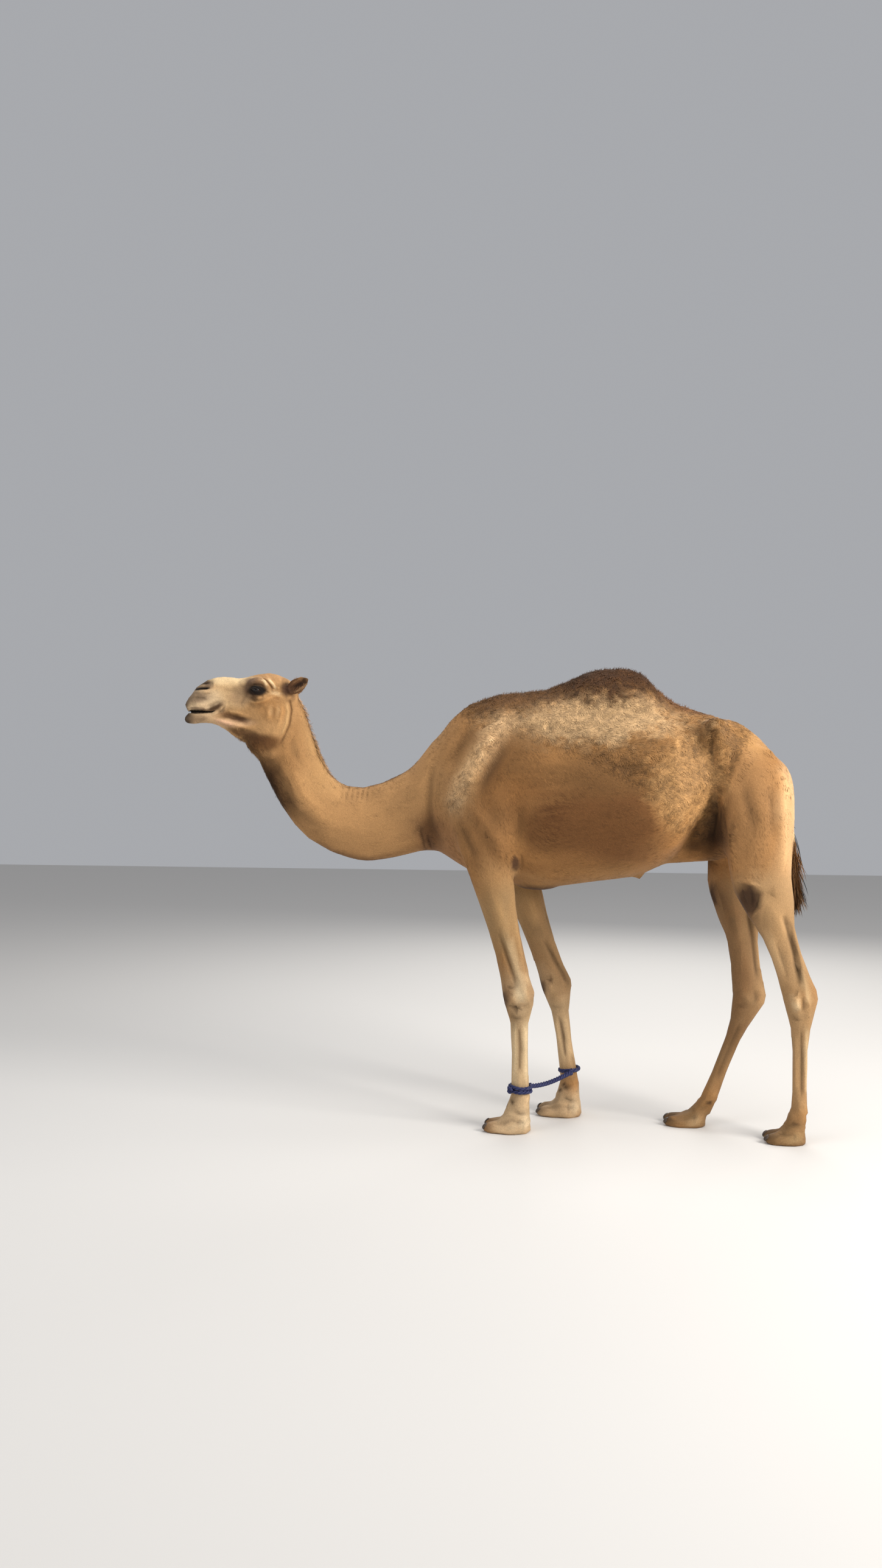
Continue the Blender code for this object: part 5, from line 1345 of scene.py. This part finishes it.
def grow_coat(roots, material):
    """The short coat, region by region, each in as many pieces as it needs."""
    regions = coat_regions(roots.middles)
    for index, (region, slot, parts, count, rings, length, width, lift, curl, fade) in enumerate(COAT):
        chance = np.random.default_rng(100 + index)
        places, normals, unwrap, relief_shading = roots.scatter(regions[region], count, index)
        order = np.argsort(places[:, 0])
        for part, chosen in enumerate(np.array_split(order, parts)):
            spots, outward = places[chosen], normals[chosen]
            some = len(chosen)
            grown = 0.35 + 0.65 * smooth_step(coat_regions(spots)[region], 0, 0.8)
            grown *= 1 + 0.28 * near(spots, (500, 0, 2000), (450, 400, 250))  # longest on the hump
            if region == "legs":
                grown *= 0.6 + 0.4 * smooth_step(spots[:, 2], 0.1, 0.6)
            # Each lock takes the painted light and shade of the relief under its root.
            way, tone, flat = lie(spots, outward), relief_shading[chosen], 0.14
            raised = lift * (1 - 0.65 * smooth_step(spots[:, 0], 1.12, 1.20))  # sleek over the seat
            if region == "wool":
                # Wool clumps: each turns its own way and varies at random in tone, over the painted light and
                # shade of the relief, which makes it pale on its crown and dark in the gaps round it.
                way = turned(way, outward, 1.3 * cloud(spots, 0.032, 7))
                tone = tone * (1 + 0.34 * cloud(spots, 0.022, 8) + 0.22 * cloud(spots, 0.009, 10))[:, None]
                flat = 0.28
            tuft = locks(
                f"{region}_hair_{part + 1}",
                (spots, outward, unwrap[chosen]),
                way,
                length * MM * chance.uniform(0.7, 1.25, some) * grown,
                width * MM * chance.uniform(0.7, 1.2, some) * grown,
                raised * chance.uniform(0.5, 1.5, some),
                curl * (0.8 * np.sign(cloud(spots, 0.03, 6)) + chance.normal(0, 0.35, some)),
                rings,
                pigment(spots) * tone,
                200 + 10 * index + part,
                flat=flat,
                fade=fade,
                sink=0.4,
            )
            put_on(tuft, material)


EAR_WAY = tuple(-AHEAD * 0.6 + Vector((0, 0, 0.5)))  # the hair of the ears points back and up
# Longer hair: name, slot, number of locks, rings, length, width, way (None follows the coat), lift, curl,
# tint of the coat's colour, and where its draws start.
FRINGES = (
    # The crest hair is painted half as light again as the coat: partly its paler, redder hair, partly painted
    # light against the shade it stands in.
    ("crest_hair", "body_coat", 1600, 4, 30, 1.2, (0.7, 0, -0.5), 0.5, 1.0, 1.5, 31),
    ("neck_curls", "body_coat", 2000, 3, 11, 1.5, None, 0.7, 1.4, 0.9, 32),
    ("throat_beard", "body_coat", 3800, 3, 21, 1.1, (0.3, 0, -1), 0.28, 0.6, 0.9, 33),
    ("hump_fuzz", "hump_wool", 6000, 3, 17, 1.5, (0.3, 0, 0.9), 0.8, 1.8, 0.85, 37),
    ("chin_hair", "head_coat", 1000, 3, 10, 0.9, None, 0.40, 0.5, 0.9, 34),
    ("ear_hair", "head_coat", 500, 3, 14, 0.8, EAR_WAY, 0.6, 0.5, 2.4, 35),
    ("ear_coat", "head_coat", 2200, 2, 6, 0.8, EAR_WAY, 0.25, 0.2, 0.8, 36),
)


def fringe_shares(points, outward):
    """Where each fringe grows."""
    place, (x, _, z) = head_places(points), points.T
    nape, throat = from_line(points, NAPE_LINE), from_line(points, THROAT_LINE)
    tufted = np.exp(-(((z - 1.64) / 0.060) ** 2)) + 0.18 * np.exp(-(((z - 1.84) / 0.06) ** 2))
    crown = wool_share(points) * smooth_step(outward[:, 2], 0.2, 0.7) * smooth_step(z, 1.80, 1.90)
    chin = smooth_step(-outward[:, 2], 0.2, 0.7) * (place[:, 0] > 0.05) * (place[:, 0] < 0.40) * (z < 1.80)
    ear = near(np.abs(place), (45, 85, 1935), (70, 50, 60)) * (place[:, 0] < 0.01)
    open_side = outward @ np.array(AHEAD) + 0.6 * np.sign(place[:, 1]) * (outward @ np.array(OUTWARD))
    return {
        "crest_hair": np.exp(-((nape / 0.020) ** 2)) * tufted,
        "neck_curls": np.exp(-((nape / 0.024) ** 2)) * (x < -0.36),
        "throat_beard": np.exp(-((throat / 0.035) ** 2)) * smooth_step(z, 1.40, 1.56),
        "hump_fuzz": crown,
        "chin_hair": chin,
        "ear_hair": ear * smooth_step(open_side, 0.1, 0.7),
        "ear_coat": ear,
    }


def grow_fringes(roots, material):
    """The longer hair of nape, throat, hump, chin and ears."""
    shares = fringe_shares(roots.middles, roots.normals.mean(1))
    for name, slot, count, rings, length, width, way, lift, curl, tint, seed in FRINGES:
        places, normals, unwrap, _ = roots.scatter(shares[name], count, seed)
        chance = np.random.default_rng(seed)
        if way is None:
            way = lie(places, normals)
        else:
            way = np.array(way) + chance.normal(0, 0.25, (count, 3))
            way -= normals * 0.7 * (way * normals).sum(1)[:, None]
            way = unit(way)
        piece = locks(
            name,
            (places, normals, unwrap),
            way,
            length * MM * chance.uniform(0.5, 1.2, count),
            width * MM * chance.uniform(0.7, 1.2, count),
            lift * chance.uniform(0.5, 1.5, count),
            curl * chance.normal(0, 1, count),
            rings,
            pigment(places) * tint,
            seed,
            fade=0.35,
        )
        put_on(piece, material)


# Rows of lashes: lid (0 upper, 1 lower), number, length, droop and height off the lid's edge.
LASH_ROWS = ((0, 46, 24, -0.35, 1.0), (0, 40, 17, -0.15, 0.4), (1, 34, 8, -0.5, -0.2))


def grow_lashes(roots, material):
    """Two rows of long lashes on each upper lid, and a short one on the lower."""
    for side, name in ((-1, "left"), (1, "right")):
        centre, forward, outward, upward = eye_frame(side)
        places, ways, lengths = [], [], []
        for edge, count, length, droop, raised in LASH_ROWS:
            for along in np.linspace(-0.88, 0.88, count) * LID_HALF_LENGTH:
                up = lid_opening(np.array(along))[edge] + raised * MM * (1 - 2 * edge)
                depth = math.sqrt((EYE_RADIUS + 2.6 * MM) ** 2 - along**2 - up**2)
                places.append(centre + forward * along + upward * up + outward * depth)
                ways.append(outward * 0.75 + upward * droop + forward * along * 18)
                lengths.append(length * MM * (1 - 0.5 * (along / LID_HALF_LENGTH) ** 2))
        places, ways = np.array(places), unit(np.array(ways))
        normals = unit(np.cross(ways, np.cross(upward[None], ways)))
        count = len(places)
        lash = locks(
            f"lashes_{name}",
            (places, normals, unwrap_near(roots, places)),
            ways,
            np.array(lengths),
            np.full(count, 0.8 * MM),
            np.full(count, -0.25),
            np.zeros(count),
            3,
            all_over("#21140A", count),
            61,
            fade=0.1,
            sink=0.5,
        )
        put_on(lash, material)


# The tail's own line below the dock, seen from the side.
TAIL_LINE = ((1270, 1300), (1269, 1210), (1272, 1145), (1280, 1080), (1288, 1010), (1262, 935))
TAIL_GIRTH = (6.0, 5.5, 6.0, 6.0, 5.0, 3.0)
TAIL_LOCKS = 1300


def grow_tail(roots, material):
    """The switch of the tail: long wavy locks from the end of the dock down."""
    line_x, line_z = metres(TAIL_LINE).T
    steps = np.linspace(0, 1, len(TAIL_LINE))
    count = TAIL_LOCKS
    chance = np.random.default_rng(71)
    share = chance.random(count) ** 1.1 * 0.80
    flat = np.zeros(count)
    x, z = np.interp(share, steps, line_x), np.interp(share, steps, line_z)
    ahead = np.minimum(share + 0.25, 1)
    run_x, run_z = np.interp(ahead, steps, line_x) - x, np.interp(ahead, steps, line_z) - z
    way = unit(np.stack([run_x, flat, run_z], axis=1))
    angle = chance.random(count) * 2 * math.pi
    outward = np.stack([np.cos(angle), np.sin(angle), flat], axis=1)
    girth = np.interp(share, steps, TAIL_GIRTH) * MM * np.sqrt(chance.uniform(0.2, 1, count))
    places = np.stack([x, flat, z], axis=1) + outward * girth[:, None] * (1, 1.3, 1)
    # Most locks keep to the tail's line; a few wisps stand off it.
    stray = np.where(chance.random(count) < 0.05, 0.10, 0.018)[:, None]
    way = unit(way + chance.normal(0, 1, (count, 3)) * stray)
    reach = np.clip((z - 0.925) * chance.uniform(0.5, 1.0, count), 0.03, 0.17)
    streak = chance.random(count) ** 2
    colours = linear("#6E4824") + (linear("#3C2612") - linear("#6E4824")) * share[:, None] / 0.8
    lay_over(colours, "#A67E50", 0.5 * streak)
    piece = locks(
        "tail_locks",
        (places, outward, unwrap_near(roots, places)),
        way,
        reach,
        chance.uniform(1.6, 2.8, count) * MM,
        np.full(count, 0.02),
        chance.normal(0, 0.35, count),
        5,
        colours,
        72,
        fade=0.2,
    )
    put_on(piece, material)
    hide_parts("tail_tuft")


# ---------------------------------------------------------------- eyes and nails

PUPIL = (6.0 * MM, 4.0 * MM)  # a camel's pupil is a lying oval
IRIS = 12.5 * MM


def make_eye(side, name, material):
    """An eyeball that bulges at the cornea, painted with pupil, iris, its dark rim and the white."""
    centre, forward, outward, upward = eye_frame(side)
    bpy.ops.mesh.primitive_uv_sphere_add(segments=72, ring_count=60, radius=EYE_RADIUS)
    eye = bpy.context.object
    eye.name = f"{name}ball"
    local = points_of(eye)
    across = np.hypot(local[:, 0], local[:, 1])
    front = local[:, 2] > 0
    local[:, 2] += front * 1.1 * MM * np.exp(-((across / (7 * MM)) ** 2))
    pupil = np.hypot(local[:, 0] / PUPIL[0], local[:, 1] / PUPIL[1])
    spokes = 0.5 + 0.5 * np.sin(np.arctan2(local[:, 1], local[:, 0]) * 23 + 3 * np.sin(across * 900))
    white = smooth_step(across, IRIS + 1.0 * MM, IRIS + 4 * MM)
    colour = all_over("#140B06", len(local))
    lay_over(colour, "#28170B", spokes)
    lay_over(colour, "#0C0704", smooth_step(across, IRIS - 2.5 * MM, IRIS))
    lay_over(colour, "#3A261B", np.where(front, white, 1))
    lay_over(colour, "#050403", (1 - smooth_step(pupil, 0.85, 1.1)) * front)
    set_points(eye, centre + local[:, :1] * forward + local[:, 1:2] * upward + local[:, 2:] * outward)
    if np.dot(np.cross(forward, upward), outward) < 0:
        edit_all(eye, bpy.ops.mesh.flip_normals)
    round_off(eye)
    paint(eye, colour)
    put_on(eye, material)
    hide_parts(name)


def smooth_copy(node, name):
    """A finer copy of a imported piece, rounded over its facets."""
    made = copy_of(node, name)
    edit_all(made, bpy.ops.mesh.remove_doubles, threshold=WELD)
    modify(made, "SUBSURF", levels=3, render_levels=3)
    round_off(made)
    return made


def make_nails(material):
    """The two toe nails of each foot, ridged along their growth and worn pale at the root."""
    for node in [f"{foot}_nail_{place}" for foot in FEET for place in ("near", "off")]:
        nail = smooth_copy(node, f"{node}_horn")
        points, normals = points_of(nail), normals_of(nail)
        low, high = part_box(node)
        across = (points[:, 0] - low[0]) / (high[0] - low[0])
        ridges = np.sin(across * 26 + 2 * cloud(points, 0.01))
        set_points(nail, points + normals * (0.6 + 0.12 * ridges)[:, None] * MM)
        shade = 0.55 + 0.45 * smooth_step(across, 0, 0.8)
        paint(nail, linear("#4A3A2C") * shade[:, None] * (1 + 0.25 * ridges)[:, None])
        put_on(nail, material)
        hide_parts(node)


# ---------------------------------------------------------------- hobble

ROPE_RADIUS = 0.0105
LAY = 0.052  # length of one turn of the strands
KNOT_ROPE, KNOT_LAY = 0.0062, 0.03  # the rope pulled tight in a knot
LOOP_STEPS, KNOT_STEPS, LINK_STEPS = 96, 120, 70
# Name, middle, half sizes, tilt in degrees, rope's radius and heights of the turns of each loop, in metres.
HOBBLE_LOOPS = (
    ("hobble_loop_left", (0.117, -0.141, 0.184), (0.045, 0.044), 3, 0.0082, (-0.0082, 0.0082)),
    ("hobble_loop_right", (0.308, 0.150, 0.206), (0.042, 0.041), -6, 0.0092, (0.0,)),
)
# Loop, place in metres and size of each knot: the rope's own, and the hitches that take the link's ends.
KNOTS = (
    ("hobble_loop_left", (0.077, -0.176, 0.185), 1.0),
    ("hobble_loop_left", (0.151, -0.099, 0.183), 0.95),
    ("hobble_loop_right", (0.316, 0.098, 0.206), 0.95),
)
# The rope's way from one loop to the other.
LINK_ROUTE = (
    (158, -90, 182),
    (182, -64, 179),
    (206, -37, 178.5),
    (230, -10, 180.5),
    (254, 17, 185),
    (278, 44, 191.5),
    (299, 67, 198),
    (318, 88, 205),
)
STRAND = 0.464  # radius of each of three strands laid in a rope of radius 1


def path_sides(path, closed):
    """The directions beside and above a path, at each of its places."""
    if closed:
        run = np.roll(path, -1, axis=0) - np.roll(path, 1, axis=0)
    else:
        run = np.gradient(path, axis=0)
    run = unit(run)
    side = unit(np.cross(run, (0, 0, 1.0)), TINY)
    return side, np.cross(side, run)


def tube(path, radius, closed, sides=9):
    """Points and triangles of a round tube along a path."""
    side, above = path_sides(path, closed)
    angle = np.arange(sides) * 2 * math.pi / sides
    around = side[:, None] * np.cos(angle)[None, :, None] + above[:, None] * np.sin(angle)[None, :, None]
    points = (path[:, None] + around * radius).reshape(-1, 3)
    count = len(path)
    triangles = []
    for ring in range(count if closed else count - 1):
        after = (ring + 1) % count
        for step in range(sides):
            following = (step + 1) % sides
            low, high = ring * sides + step, ring * sides + following
            low_after, high_after = after * sides + step, after * sides + following
            triangles += [(low, high, high_after), (low, high_after, low_after)]
    if not closed:
        last = (count - 1) * sides
        triangles += [(0, step + 1, step) for step in range(1, sides - 1)]
        triangles += [(last, last + step, last + step + 1) for step in range(1, sides - 1)]
    return points, np.array(triangles)


def laid_rope(path, radius, closed, lay=LAY):
    """Three strands twisted round each other along a path."""
    steps = np.linalg.norm(np.diff(path, axis=0, append=path[:1] if closed else path[-1:]), axis=1)
    gone = np.append(0, np.cumsum(steps)[:-1])
    turns = max(1, round(steps.sum() / lay))
    side, above = path_sides(path, closed)
    made = []
    for strand in range(3):
        angle = 2 * math.pi * (gone / steps.sum() * turns + strand / 3)
        away = side * np.cos(angle)[:, None] + above * np.sin(angle)[:, None]
        made.append(tube(path + away * radius * (1 - STRAND), radius * STRAND * 1.06, closed))
    return made


def joined(name, parts):
    """One object from several sets of points and triangles."""
    starts = np.cumsum([0] + [len(points) for points, _ in parts])
    triangles = [faces + start for (_, faces), start in zip(parts, starts)]
    return from_arrays(name, np.concatenate([points for points, _ in parts]), np.concatenate(triangles))


def smooth_path(places, count):
    """A run of points on a smooth curve through a few places."""
    places = metres(places)
    padded = np.vstack([2 * places[0] - places[1], places, 2 * places[-1] - places[-2]])
    along = np.linspace(0, len(places) - 1 - 1e-9, count)
    first = along.astype(int)
    share = (along - first)[:, None]
    a, b, c, d = (padded[first + step] for step in range(4))
    bend = (2 * a - 5 * b + 4 * c - d) * share**2
    return 0.5 * (2 * b + (c - a) * share + bend + (3 * b - a - 3 * c + d) * share**3)


def loop_turn(middle_place, half_sizes, tilt, height):
    """One turn of a loop: a slightly wavy, tilted ring."""
    angle = np.linspace(0, 2 * math.pi, LOOP_STEPS, endpoint=False)
    x, y = half_sizes[0] * np.cos(angle), half_sizes[1] * np.sin(angle)
    lean = math.radians(tilt)
    circle = np.stack([x * math.cos(lean), y, height - x * math.sin(lean)], axis=1)
    circle[:, 2] += 1.2 * MM * np.sin(3 * angle + height * 300)
    return circle + middle_place


def knot_turn(place, size):
    """The way of the rope through one overhand knot."""
    angle = np.linspace(0, 2 * math.pi, KNOT_STEPS, endpoint=False)
    across = np.sin(angle) + 2 * np.sin(2 * angle)
    up = np.cos(angle) - 2 * np.cos(2 * angle)
    knot = np.stack([-np.sin(3 * angle), across, up], axis=1) * (0.0075, 0.0034, 0.0042)
    return knot * size + place


def dress_rope(rope, node, material):
    """Dusty blue rope over one node of the hobble."""
    points = points_of(rope)
    dust = 0.5 + 0.5 * cloud(points, 0.012, 9)
    colour = all_over("#171D4C", len(points))
    lay_over(colour, "#3F4670", 0.5 * dust**2)
    paint(rope, colour)
    put_on(rope, material)
    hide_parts(node)


def make_hobble(material):
    """Both loops with their knots, and the rope between the legs."""
    for name, middle_place, half_sizes, tilt, radius, heights in HOBBLE_LOOPS:
        parts = []
        for height in heights:
            parts += laid_rope(loop_turn(middle_place, half_sizes, tilt, height), radius, True)
        for loop_name, place, size in KNOTS:
            if loop_name == name:
                parts += laid_rope(knot_turn(place, size), KNOT_ROPE, True, KNOT_LAY)
        dress_rope(joined(f"{name}_rope", parts), name, material)
    route = smooth_path(LINK_ROUTE, LINK_STEPS)
    link = joined("hobble_link_rope", laid_rope(route, ROPE_RADIUS, False))
    dress_rope(link, "hobble_link", material)


# ---------------------------------------------------------------- the camel put together

skin = make_skin()
edit_all(skin, bpy.ops.uv.smart_project, angle_limit=math.radians(66), island_margin=0.001)
skin.data.uv_layers[0].name = "OFBake"
# The skin's colour carries painted shade under its hair, and the painted light and shade of its relief.
paint(skin, SKIN_SHADE * pigment(points_of(skin)) * relief_light_and_shade(skin))
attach(skin, "root")
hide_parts(*FLESH)
# Short camel coat: dense underfur with fine guard hair over it, so it is matt with a soft rim of light.
underfur = ((9 * MM, 1.2 * MM), (1.6 * MM, 0.5 * MM))
skin.data.materials.append(coat_material("short camel coat", 0.8, 0.03, underfur))
# Guard hair: single locks of camel hair, a little shinier along their length.
hair = coat_material("camel hair", 0.68, 0.04, ())
roots = Roots(skin)
grow_coat(roots, hair)
grow_fringes(roots, hair)
grow_lashes(roots, hair)
grow_tail(roots, hair)
# Living eye: clear wet cornea over a dark brown iris, so it takes one sharp highlight.
wet_eye = pigment_material("wet cornea over a brown iris", 0.04, 1.38, Coat_Weight=0.4, Coat_Roughness=0.02)
make_eye(-1, "eye_left", wet_eye)
make_eye(1, "eye_right", wet_eye)
# Keratin toe nail, worn by sand: dull, dark and ridged along its growth.
make_nails(pigment_material("worn keratin toe nail", 0.55, 1.54))
# Twisted polypropylene rope, faded and dusty: three laid strands with a low plastic shine.
make_hobble(pigment_material("laid polypropylene rope", 0.6, 1.49))
make_studio()
